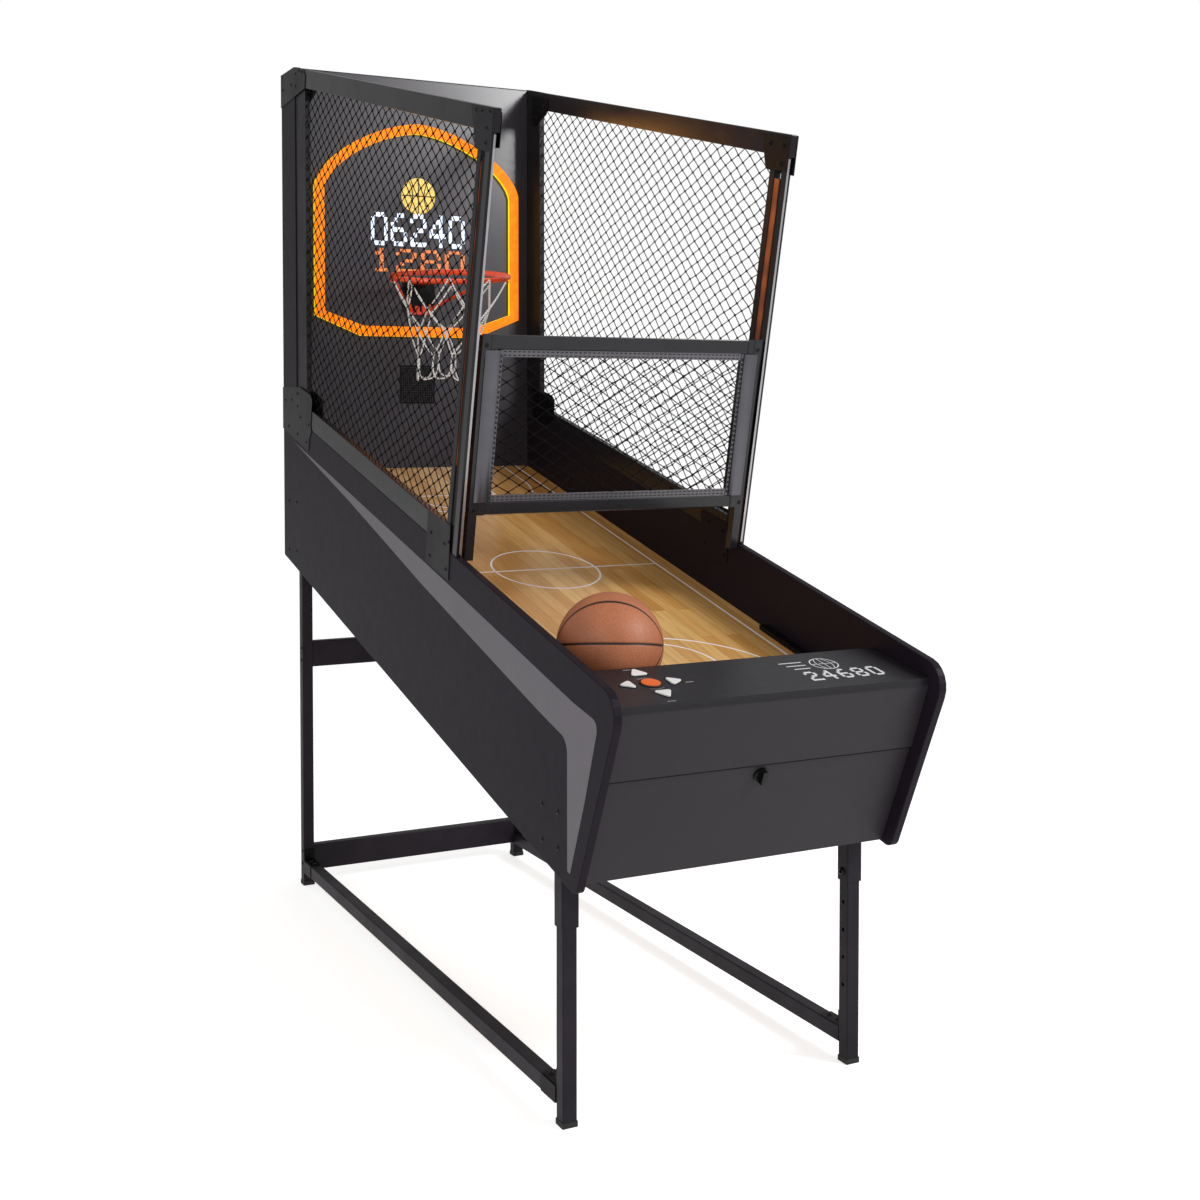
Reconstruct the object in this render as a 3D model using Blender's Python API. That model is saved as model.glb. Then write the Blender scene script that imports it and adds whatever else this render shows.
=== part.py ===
"""Basketball hoop machine: a sloping court in a cabinet on adjustable legs, with a caged hoop.

Units are metres. +Z is up, the player stands at -Y and faces +Y, X is the width.
The origin is on the floor under the centre of the machine.
"""

import math

import bmesh
import bpy
from mathutils import Matrix, Vector

# ------------------------------------------------------------------ sizes
GAP = 0.0004                      # air between pieces that meet
PANEL_IN = 0.3617                 # inner face of the side panels
PANEL_OUT = 0.3797                # outer face of the side panels
INSIDE = PANEL_IN - GAP           # half width of the boards between the panels
PLATE_T = 0.0015                  # corner plate thickness
REAR_Y = 1.0805                   # rear face of the cabinet

SLOPE = 0.2435                    # rise of the panels and rails per metre of depth
SEAM = (-0.285, 1.100)            # a point on the upper edge of the side panels
PANEL_BASE = (REAR_Y, 0.984)      # rear end of the panels' lower edge
NOSE = (-1.1043, 0.9005)          # front upper corner before rounding
TOE = (-0.9222, 0.4963)           # front lower corner before rounding
NOSE_R = 0.055
TOE_R = 0.022

COURT_SLOPE = 0.2475
COURT_REAR = (0.9396, 1.2448)     # upper rear edge of the court
COURT_T = 0.015
WALL_Y = -0.855                   # face of the ball stop wall

DECK_REAR = (-0.855, 0.9150)
DECK_FRONT = (-1.0475, 0.8785)
DECK_T = 0.010
BUTTONS_AT = (-0.2285, -0.9445)   # centre of the button cluster
BUTTON_R = 0.0195
BUTTON_UP = 0.0035                # button height above the deck
BUTTON_DOWN = 0.0160              # button depth below the deck
BUTTON_CLEAR = 0.0005

FRONT_TOP = (-1.0490, 0.8655)     # outer face of the upper front panel
FRONT_FOOT = (-0.9940, 0.7265)
FRONT_T = 0.012
DOOR_TOP = (-0.9885, 0.7245)      # outer face of the service door
DOOR_FOOT = (-0.8930, 0.5080)
DOOR_T = 0.012
PIVOT_R = 0.004
BORE_CLEAR = 0.00008
LATCH_DOWN = 0.022                # latch axis below the upper edge of the door

LEG = 0.032                       # square tube
LEG_WALL = 0.002
LEG_X = 0.342
REAR_LEG_Y = 0.987
FRONT_LEG_Y = -0.805
REAR_LEG_TOP = 1.360
FRONT_LEG_TOP = 0.550
SLEEVE = 0.038
SLEEVE_WALL = 0.0025
SLEEVE_Z = (0.401, 0.780)
HEIGHT_HOLES = (0.354, 0.293, 0.233, 0.172)
HOLE_R = 0.0045
FOOT_H = 0.012

BOX_Y = 0.9402                    # front edge of the back box sides
BOX_TOP = 2.418
POST_Y = (0.846, 0.9398)          # rear post of the cage
BOARD_Y = (0.9400, 0.9480)        # backboard sheet
OUTLINE_D = 0.012                 # how far the lit outline stands off the backboard
RAIL_TOP = (-0.540, 2.055)        # a point on the upper edge of the top rail
RAIL_SLOPE = 0.2445
RAIL_H = 0.053
LOWER_RAIL_H = 0.056

LEAN = -0.2277                    # forward lean of the front uprights, per metre of height
UPRIGHT_AT = (-0.4966, 1.908)     # a point on the front face of the uprights
UPRIGHT_X = (0.3668, 0.3782)
UPRIGHT_D = 0.0255
STRIP_D = 0.0200
POST_D = 0.0210
STRIP_TOP = 1.965

CATCH_AT = (-0.4228, 1.588)       # upper front edge of the catcher frame
CATCH_LEAN = -0.2205
CATCH_D = 0.022
CATCH_OUT = 0.358
CATCH_LEG = 0.338
CATCH_IN = 0.3065
CATCH_TOP_Z = (1.556, 1.588)
CATCH_LOW_Z = (1.189, 1.217)
CATCH_FOOT_Z = 1.085

RIM_AT = (0.0, 0.680, 1.804)
RIM_R = 0.167
RIM_TUBE = 0.008
NET_DROP = 0.300
BRACKET_T = 0.0042                # black plate between the rim and the backboard
BRACKET_Z = (1.729, 1.812)
FLANGE_Z = (1.708, 1.740)         # red plate at the foot of the braces
NET_FOOT_R = 0.058

BALL_R = 0.1105
BALL_X = -0.214
BALL_WALL = 0.004

BOARD_COLOUR = "3A383B"
STEEL_COLOUR = "343235"
DARK_COLOUR = "1B1A1C"


# ---------------------------------------------------------------- helpers
def linear(value):
    """One sRGB channel, 0 to 1, as linear light."""
    return value / 12.92 if value <= 0.04045 else ((value + 0.055) / 1.055) ** 2.4


def finish(name, colour, roughness, metallic=0.0, alpha=1.0):
    """A Principled material of one colour."""
    material = bpy.data.materials.new(name)
    material.use_nodes = True
    shader = material.node_tree.nodes["Principled BSDF"]
    channels = [int(colour[i:i + 2], 16) / 255 for i in (0, 2, 4)]
    shader.inputs["Base Color"].default_value = [linear(c) for c in channels] + [1.0]
    shader.inputs["Roughness"].default_value = roughness
    shader.inputs["Metallic"].default_value = metallic
    shader.inputs["Alpha"].default_value = alpha
    return material


def add(name, bm, material, origin=(0.0, 0.0, 0.0), turn=None):
    """Make an object from a bmesh given in world metres, with its origin at a chosen point."""
    frame = Matrix.Translation(Vector(origin))
    if turn is not None:
        frame = frame @ turn.to_4x4()
    bm.transform(frame.inverted())
    bm.normal_update()
    bmesh.ops.recalc_face_normals(bm, faces=bm.faces[:])
    mesh = bpy.data.meshes.new(name)
    bm.to_mesh(mesh)
    bm.free()
    if material is not None:
        mesh.materials.append(material)
    obj = bpy.data.objects.new(name, mesh)
    obj.location = origin
    if turn is not None:
        obj.rotation_euler = turn.to_euler()
    bpy.context.scene.collection.objects.link(obj)
    return obj


def rounded(points, radii, steps=4):
    """Corner points of an outline, each corner replaced by an arc of its own radius."""
    outline = []
    count = len(points)
    for i, point in enumerate(points):
        radius = radii[i] if isinstance(radii, (list, tuple)) else radii
        here = Vector(point)
        if radius <= 0.0:
            outline.append(tuple(here))
            continue
        before = (Vector(points[i - 1]) - here).normalized()
        after = (Vector(points[(i + 1) % count]) - here).normalized()
        half = before.angle(after) / 2
        start = here + before * radius / math.tan(half)
        end = here + after * radius / math.tan(half)
        centre = here + (before + after).normalized() * radius / math.sin(half)
        a, b = start - centre, end - centre
        sweep = a.angle(b)
        for k in range(steps + 1):
            t = k / steps
            arm = (a * math.sin((1 - t) * sweep) + b * math.sin(t * sweep)) / math.sin(sweep)
            outline.append(tuple(centre + arm))
    return outline


def spread(axis, along, across):
    """A point from its value along an axis and its two values across it."""
    if axis == "X":
        return (along, across[0], across[1])
    if axis == "Y":
        return (across[0], along, across[1])
    return (across[0], across[1], along)


def prism_mesh(axis, outline, low, high):
    """Closed prism of an outline, from low to high along an axis."""
    bm = bmesh.new()
    first = [bm.verts.new(spread(axis, low, p)) for p in outline]
    last = [bm.verts.new(spread(axis, high, p)) for p in outline]
    bm.faces.new(first)
    bm.faces.new(last)
    for i in range(len(outline)):
        j = (i + 1) % len(outline)
        bm.faces.new((first[i], first[j], last[j], last[i]))
    return bm


def frame_mesh(axis, outer, inner, low, high):
    """Closed prism of an outline with a matching hole of the same number of corners."""
    bm = bmesh.new()
    rings = []
    for outline in (outer, inner):
        rings.append([bm.verts.new(spread(axis, low, p)) for p in outline])
        rings.append([bm.verts.new(spread(axis, high, p)) for p in outline])
    order = (rings[0], rings[1], rings[3], rings[2])
    for a, b in zip(order, order[1:] + order[:1]):
        for i in range(len(outer)):
            j = (i + 1) % len(outer)
            bm.faces.new((a[i], a[j], b[j], b[i]))
    return bm


def rectangle(a0, a1, b0, b1):
    return [(a0, b0), (a1, b0), (a1, b1), (a0, b1)]


def box_mesh(x, y, z):
    return prism_mesh("Z", rectangle(x[0], x[1], y[0], y[1]), z[0], z[1])


def middle(bm):
    """Centre of a bmesh's bounds."""
    low = Vector(min(v.co[i] for v in bm.verts) for i in range(3))
    high = Vector(max(v.co[i] for v in bm.verts) for i in range(3))
    return (low + high) / 2


def put(name, bm, material):
    """Add a fixed piece with its origin at its own middle."""
    return add(name, bm, material, middle(bm))


def rod_mesh(start, end, radius, segments=16):
    """Solid cylinder between two points."""
    start, end = Vector(start), Vector(end)
    axis = end - start
    bm = bmesh.new()
    bmesh.ops.create_cone(bm, cap_ends=True, segments=segments, radius1=radius,
                          radius2=radius, depth=axis.length)
    turn = axis.to_track_quat("Z", "Y").to_matrix().to_4x4()
    bm.transform(Matrix.Translation((start + end) / 2) @ turn)
    return bm


def tool(name, bm):
    """A shape used only to cut or to add to another piece."""
    obj = add(name, bm, None)
    obj.display_type = "WIRE"
    obj.hide_render = True
    obj.hide_viewport = False
    return obj


def combine(obj, bm, operation, label):
    """Add a shape to a piece, or cut it away."""
    helper = tool(obj.name + "_" + label, bm)
    change = obj.modifiers.new(label, "BOOLEAN")
    change.operation = operation
    change.solver = "EXACT"
    change.object = helper


def cut(obj, bm, label="cut"):
    combine(obj, bm, "DIFFERENCE", label)


def join(obj, bm, label="join"):
    combine(obj, bm, "UNION", label)


def bevel(obj, width, segments=2):
    """Round the edges of a piece."""
    change = obj.modifiers.new("edge", "BEVEL")
    change.width = width
    change.segments = segments
    change.limit_method = "ANGLE"
    change.angle_limit = math.radians(40)
    change.use_clamp_overlap = True


def smooth(obj):
    for face in obj.data.polygons:
        face.use_smooth = True


def mirrored(side, low, high):
    """Span across X on one side of the machine."""
    return (side * low, side * high) if side > 0 else (side * high, side * low)


SIDES = (("left", -1), ("right", 1))


# ------------------------------------------------------- lines of the cabinet
def seam_z(y):
    """Upper edge of the side panels."""
    return SEAM[1] + SLOPE * (y - SEAM[0])


def rail_z(y):
    """Upper edge of the cage's top rail."""
    return RAIL_TOP[1] + RAIL_SLOPE * (y - RAIL_TOP[0])


def court_z(y):
    return COURT_REAR[1] + COURT_SLOPE * (y - COURT_REAR[0])


def upright_y(z):
    """Front face of the leaning uprights."""
    return UPRIGHT_AT[0] + LEAN * (z - UPRIGHT_AT[1])


def catcher_y(z):
    """Front face of the catcher frame."""
    return CATCH_AT[0] + CATCH_LEAN * (z - CATCH_AT[1])


def lean_meets(offset, line, lift):
    """Where a leaning edge, set back from the upright's face, crosses a sloping line."""
    z = 1.5
    for _ in range(40):
        z = line(upright_y(z) + offset) + lift
    return (upright_y(z) + offset, z)


def leaning_outline(near, far, low_line, low_lift, high_line, high_lift):
    """Outline of a leaning post between two sloping lines."""
    return [
        lean_meets(near, low_line, low_lift),
        lean_meets(far, low_line, low_lift),
        lean_meets(far, high_line, high_lift),
        lean_meets(near, high_line, high_lift),
    ]


def offset_board(top, foot, thickness):
    """Outline of a board from its outer face: the face's two ends, and the same moved inwards."""
    top, foot = Vector(top), Vector(foot)
    along = (foot - top).normalized()
    inwards = Vector((-along.y, along.x)) * thickness
    return [tuple(top), tuple(foot), tuple(foot + inwards), tuple(top + inwards)]


# ------------------------------------------------------------------ pieces
def tube(name, axis, centre, size, span, wall, material, corner=0.003):
    """Square or rectangular tube, open at both ends."""
    a, b = centre
    wide, tall = size
    outer = rounded(rectangle(a - wide / 2, a + wide / 2, b - tall / 2, b + tall / 2), corner, 2)
    wide, tall = wide - 2 * wall, tall - 2 * wall
    inner = rounded(rectangle(a - wide / 2, a + wide / 2, b - tall / 2, b + tall / 2),
                    max(corner - wall, 0.001), 2)
    return put(name, frame_mesh(axis, outer, inner, span[0], span[1]), material)


def build_base():
    """Legs, feet and beams."""
    steel = finish("legs_steel", STEEL_COLOUR, 0.45)
    rubber = finish("foot_plastic", "141315", 0.6)
    for end, y, top in (("rear", REAR_LEG_Y, REAR_LEG_TOP), ("front", FRONT_LEG_Y, FRONT_LEG_TOP)):
        for word, side in SIDES:
            x = side * LEG_X
            leg = tube("leg_%s_%s" % (end, word), "Z", (x, y), (LEG, LEG),
                       (FOOT_H + GAP, top), LEG_WALL, steel)
            if end == "front":
                inner = x - side * LEG / 2
                for k, z in enumerate(HEIGHT_HOLES):
                    cut(leg, rod_mesh((inner - side * 0.004, y, z), (inner + side * 0.006, y, z),
                                      HOLE_R), "hole%d" % k)
            half = LEG / 2 + 0.0007
            cap = put("foot_%s_%s" % (end, word), box_mesh((x - half, x + half), (y - half, y + half),
                                                         (0.0, FOOT_H)), rubber)
            plug = LEG / 2 - LEG_WALL - 0.0010
            join(cap, box_mesh((x - plug, x + plug), (y - plug, y + plug),
                               (FOOT_H - 0.002, FOOT_H + 0.022)), "plug")

    reach = LEG_X - LEG / 2 - GAP
    for word, z in (("lower", (0.044, 0.1195)), ("upper", (0.655, 0.7315))):
        tube("crossbeam_%s" % word, "X", (REAR_LEG_Y, (z[0] + z[1]) / 2), (0.030, z[1] - z[0]),
             (-reach, reach), LEG_WALL, steel)
    for word, side in SIDES:
        tube("side_beam_%s" % word, "Y", (side * LEG_X, 0.058), (LEG, 0.036),
             (FRONT_LEG_Y + LEG / 2 + GAP, REAR_LEG_Y - LEG / 2 - GAP), LEG_WALL, steel)


def build_panels():
    """Side boards of the trough, with bores for the service door's pivots."""
    board = finish("panel_board", BOARD_COLOUR, 0.5)
    corners = [(REAR_Y, seam_z(REAR_Y)), NOSE, TOE, PANEL_BASE]
    outline = rounded(corners, [0.0, NOSE_R, TOE_R, 0.004], 6)
    y, z = door_pivot()
    for word, side in SIDES:
        low, high = mirrored(side, PANEL_IN, PANEL_OUT)
        panel = put("side_panel_%s" % word, prism_mesh("X", outline, low, high), board)
        bevel(panel, 0.0018)
        cut(panel, rod_mesh((side * (PANEL_IN - 0.004), y, z), (side * (PANEL_IN + 0.0115), y, z),
                            PIVOT_R + BORE_CLEAR, 24), "pivot")


def build_court():
    """Sloping court, guide strips beside its lower end, and the wall that stops the balls."""
    wood = finish("court_wood", "D0A468", 0.32)
    black = finish("guide_black", DARK_COLOUR, 0.45)
    board = finish("wall_board", BOARD_COLOUR, 0.5)
    front = WALL_Y + GAP
    outline = [(COURT_REAR[0] - GAP, court_z(COURT_REAR[0] - GAP)), (front, court_z(front)),
               (front, court_z(front) - COURT_T),
               (COURT_REAR[0] - GAP, court_z(COURT_REAR[0] - GAP) - COURT_T)]
    bevel(put("court_board", prism_mesh("X", outline, -INSIDE, INSIDE), wood), 0.0006, 1)
    for word, side in SIDES:
        low, high = mirrored(side, 0.339, INSIDE)
        guide = [(-0.442, court_z(-0.442) + GAP), (front + GAP, court_z(front + GAP) + GAP),
                 (front + GAP, court_z(front + GAP) + 0.012), (-0.442, court_z(-0.442) + 0.012)]
        bevel(put("side_guide_%s" % word, prism_mesh("X", guide, low, high), black), 0.002)
    foot = court_z(WALL_Y) - COURT_T
    top = DECK_REAR[1] - DECK_T - GAP - 0.0006
    wall = [(WALL_Y, top), (WALL_Y, foot), (WALL_Y - 0.012, foot), (WALL_Y - 0.012, top - 0.0024)]
    put("ball_stop_wall", prism_mesh("X", wall, -INSIDE, INSIDE), board)


def deck_turn():
    """Rotation that lays a piece on the deck."""
    rise = (DECK_REAR[1] - DECK_FRONT[1]) / (DECK_REAR[0] - DECK_FRONT[0])
    return Matrix.Rotation(math.atan(rise), 3, "X")


def deck_point(y):
    rise = (DECK_REAR[1] - DECK_FRONT[1]) / (DECK_REAR[0] - DECK_FRONT[0])
    return Vector((BUTTONS_AT[0], y, DECK_FRONT[1] + rise * (y - DECK_FRONT[0])))


def arrow_outline(direction, near, far, half, grow=0.0):
    """Rounded triangle pointing away from the cluster's centre."""
    direction = Vector(direction)
    across = Vector((-direction.y, direction.x))
    points = [direction * far, direction * near + across * half, direction * near - across * half]
    centre = sum(points, Vector((0.0, 0.0))) / 3
    stretch = 1.0 + grow / 0.010
    points = [tuple(centre + (p - centre) * stretch) for p in points]
    return rounded(points, 0.0045 + grow, 3)


def on_deck(bm):
    """Move a shape drawn around the cluster's centre onto the deck."""
    bm.transform(Matrix.Translation(deck_point(BUTTONS_AT[1])) @ deck_turn().to_4x4())
    return bm


def circle(radius, segments):
    steps = [2 * math.pi * k / segments for k in range(segments)]
    return [(radius * math.cos(a), radius * math.sin(a)) for a in steps]


def build_deck():
    """Control deck with five push buttons in it."""
    board = finish("deck_board", "2F2D30", 0.42)
    white = finish("button_white", "F1F1EF", 0.3)
    orange = finish("button_orange", "F08A2E", 0.3)
    outline = offset_board(DECK_REAR, DECK_FRONT, DECK_T)
    deck = put("control_deck", prism_mesh("X", outline, -INSIDE, INSIDE), board)
    bevel(deck, 0.001, 1)
    shapes = {
        "button_back": ((0, 1), 0.044, 0.080, 0.0205),
        "button_forward": ((0, -1), 0.044, 0.080, 0.0205),
        "button_left": ((-1, 0), 0.0395, 0.0700, 0.0205),
        "button_right": ((1, 0), 0.0395, 0.0700, 0.0205),
    }
    for name, shape in shapes.items():
        hole = prism_mesh("Z", arrow_outline(*shape, grow=BUTTON_CLEAR), -0.03, 0.01)
        cut(deck, on_deck(hole), name)
        body = on_deck(prism_mesh("Z", arrow_outline(*shape), -BUTTON_DOWN, BUTTON_UP))
        centre = deck_point(BUTTONS_AT[1]) + deck_turn() @ Vector(
            (shape[0][0] * shape[1], shape[0][1] * shape[1], 0.0))
        bevel(add(name, body, white, centre, deck_turn()), 0.001, 2)
    cut(deck, on_deck(prism_mesh("Z", circle(BUTTON_R + BUTTON_CLEAR, 32), -0.03, 0.01)), "round")
    body = on_deck(prism_mesh("Z", circle(BUTTON_R, 32), -BUTTON_DOWN, BUTTON_UP))
    bevel(add("button_round", body, orange, deck_point(BUTTONS_AT[1]), deck_turn()), 0.001, 2)


def door_direction():
    """Unit vector up the outer face of the service door, and the one into the cabinet."""
    up = (Vector(DOOR_TOP) - Vector(DOOR_FOOT)).normalized()
    return up, Vector((up.y, -up.x))


def door_pivot():
    up, inwards = door_direction()
    return tuple(Vector(DOOR_FOOT) + up * 0.009 + inwards * DOOR_T / 2)


def build_front():
    """Upper front panel, service door on two pivots, and its quarter-turn latch."""
    board = finish("front_board", BOARD_COLOUR, 0.5)
    metal = finish("latch_metal", DARK_COLOUR, 0.35, 0.6)
    outline = offset_board(FRONT_TOP, FRONT_FOOT, FRONT_T)
    bevel(put("front_panel_upper", prism_mesh("X", outline, -INSIDE, INSIDE), board), 0.001, 1)

    up, inwards = door_direction()
    pivot = door_pivot()
    outline = offset_board(DOOR_TOP, DOOR_FOOT, DOOR_T)
    door = add("service_door", prism_mesh("X", outline, -INSIDE, INSIDE), board,
               (0.0, pivot[0], pivot[1]))
    bevel(door, 0.001, 1)
    for word, side in SIDES:
        join(door, rod_mesh((side * (INSIDE - 0.006), pivot[0], pivot[1]),
                            (side * (PANEL_IN + 0.010), pivot[0], pivot[1]), PIVOT_R, 24),
             "pin_" + word)

    axis_at = Vector(DOOR_TOP) - up * LATCH_DOWN

    def along(depth, height=0.0):
        """A point on the latch axis, by depth from the door's face and height above the axis."""
        flat = axis_at + inwards * depth + up * height
        return (flat.x, flat.y)

    def at(depth, x=0.0, height=0.0):
        y, z = along(depth, height)
        return (x, y, z)

    shaft = 0.006
    cut(door, rod_mesh(at(-0.01), at(DOOR_T + 0.01), shaft + BORE_CLEAR, 32), "latch_bore")
    turn = Matrix(((1, 0, 0), (0, up.x, -inwards.x), (0, up.y, -inwards.y)))
    latch = add("door_latch", rod_mesh(at(-0.004 - GAP), at(-GAP), 0.0165, 32), metal, at(0.0), turn)
    join(latch, rod_mesh(at(-0.003), at(DOOR_T + 0.003), shaft, 32), "shaft")
    grip = box_mesh((-0.0045, 0.0045), (-0.0150, 0.0150), (0.002, 0.016))
    grip.transform(Matrix.Translation(at(0.0)) @ turn.to_4x4())
    join(latch, grip, "grip")
    cam = box_mesh((-0.009, 0.040), (-0.008, 0.008), (-DOOR_T - 0.004, -DOOR_T - 0.001))
    cam.transform(Matrix.Translation(at(0.0)) @ turn.to_4x4())
    join(latch, cam, "cam")

    box = finish("control_box", "6E7073", 0.5)
    body = box_mesh((-0.13, 0.13), (-0.865, -0.800), (0.640, 0.760))
    bevel(put("control_box", body, box), 0.003, 1)


def build_sleeves():
    """Front leg sleeves, fixed inside the side panels."""
    steel = finish("sleeve_steel", STEEL_COLOUR, 0.45)
    for word, side in SIDES:
        tube("leg_sleeve_%s" % word, "Z", (side * LEG_X, FRONT_LEG_Y), (SLEEVE, SLEEVE), SLEEVE_Z,
             SLEEVE_WALL, steel)


def build_back_box():
    """Back box: side boards, back cover, backboard, lit outline, display and speaker."""
    board = finish("box_board", BOARD_COLOUR, 0.5)
    glossy = finish("backboard_gloss", "232226", 0.12)
    for word, side in SIDES:
        low, high = mirrored(side, PANEL_IN, PANEL_OUT)
        outline = [(BOX_Y, seam_z(BOX_Y) + GAP), (REAR_Y, seam_z(REAR_Y) + GAP), (REAR_Y, BOX_TOP),
                   (BOX_Y, BOX_TOP)]
        bevel(put("back_box_side_%s" % word, prism_mesh("X", outline, low, high), board), 0.001, 1)

    cover = put("back_cover", box_mesh((-INSIDE, INSIDE), (1.0685, REAR_Y), (0.990, BOX_TOP)), board)
    join(cover, box_mesh((-INSIDE, INSIDE), (BOARD_Y[1] + GAP, 1.070), (2.400, BOX_TOP)), "top")
    cut(cover, box_mesh((-0.025, 0.025), (REAR_Y - 0.007, REAR_Y + 0.01), (1.060, 1.090)), "inlet")

    bevel(put("backboard", box_mesh((-INSIDE, INSIDE), BOARD_Y, (court_z(BOARD_Y[0]) - 0.03, 2.414)),
              glossy), 0.0006, 1)

    lit = finish("outline_lit", "F99A1C", 0.4)
    outer = arch_outline(0.326, 0.141, 1.641, 1.699, 2.077, 2.280, 0.185)
    inner = arch_outline(0.296, 0.128, 1.671, 1.713, 2.070, 2.250, 0.177)
    put("led_outline", frame_mesh("Y", outer, inner, BOARD_Y[0] - GAP - OUTLINE_D, BOARD_Y[0] - GAP), lit)

    module = finish("display_module", "101012", 0.4)
    body = box_mesh((-0.170, 0.170), (BOARD_Y[1] + GAP, BOARD_Y[1] + 0.030), (1.820, 2.140))
    put("display_module", body, module)
    cone = finish("speaker_cone", "17171A", 0.6)
    speaker = put("speaker", rod_mesh((-0.005, BOARD_Y[1] + GAP, 1.497),
                                      (-0.005, BOARD_Y[1] + 0.012, 1.497), 0.052, 32), cone)
    join(speaker, rod_mesh((-0.005, BOARD_Y[1] + 0.010, 1.497), (-0.005, BOARD_Y[1] + 0.045, 1.497),
                           0.032, 24), "magnet")


def arch_outline(half, waist, foot, shoulder, spring, crown, sole, steps=9):
    """Backboard outline: flat foot, chamfered lower corners, straight sides and an arched top."""
    points = [(-sole, foot), (sole, foot), (half, shoulder), (half, spring)]
    for k in range(1, steps):
        t = math.pi / 2 * k / steps
        reach = half * math.cos(t) ** 1.25
        points.append((reach, spring + (crown - spring) * math.sin(t) ** 1.25))
    points.append((0.0, crown))
    left = [(-x, z) for x, z in reversed(points[2:-1])]
    return points + left


def build_hoop():
    """Rim with flange and braces, the box it is bolted to, and the rope net."""
    red = finish("rim_red", "E8431F", 0.35)
    black = finish("bracket_black", DARK_COLOUR, 0.45)
    rope = finish("net_rope", "E9E8E4", 0.7)
    bpy.ops.mesh.primitive_torus_add(major_radius=RIM_R, minor_radius=RIM_TUBE, major_segments=48,
                                     minor_segments=10, location=RIM_AT)
    rim = bpy.context.object
    rim.name = "rim"
    rim.data.name = "rim"
    rim.data.materials.append(red)
    smooth(rim)
    x, y, z = RIM_AT
    back = y + RIM_R
    face = BOARD_Y[0] - GAP - BRACKET_T - GAP
    join(rim, box_mesh((-0.026, 0.026), (back, face), (z - 0.0060, z + 0.0050)), "neck")
    join(rim, box_mesh((-0.037, 0.037), (face - 0.0106, face), FLANGE_Z), "flange")
    for word, side in SIDES:
        start = (side * RIM_R * math.sin(math.radians(62)), y + RIM_R * math.cos(math.radians(62)), z)
        end = (side * 0.026, face - 0.006, FLANGE_Z[0] + 0.014)
        join(rim, rod_mesh(start, end, 0.0045, 12), "brace_" + word)
    plate = box_mesh((-0.051, 0.051), (face + GAP, BOARD_Y[0] - GAP), BRACKET_Z)
    bevel(put("rim_bracket", plate, black), 0.001, 2)

    profile = [(RIM_R - RIM_TUBE - 0.006, z - 0.008), (0.122, z - 0.070), (0.094, z - 0.150),
               (0.070, z - 0.225), (NET_FOOT_R, z - NET_DROP)]
    outer = profile
    inner = [(r - 0.003, h) for r, h in reversed(profile)]
    ring = [(r, 0.0, h) for r, h in outer + inner]
    bm = bmesh.new()
    verts = [bm.verts.new(p) for p in ring]
    edges = [bm.edges.new((verts[i], verts[(i + 1) % len(verts)])) for i in range(len(verts))]
    bmesh.ops.spin(bm, geom=verts + edges, cent=(0, 0, 0), axis=(0, 0, 1), angle=2 * math.pi,
                   steps=32, use_merge=True)
    bmesh.ops.remove_doubles(bm, verts=bm.verts[:], dist=0.00001)
    bm.transform(Matrix.Translation((x, y, 0.0)))
    smooth(put("hoop_net", bm, rope))


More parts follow.
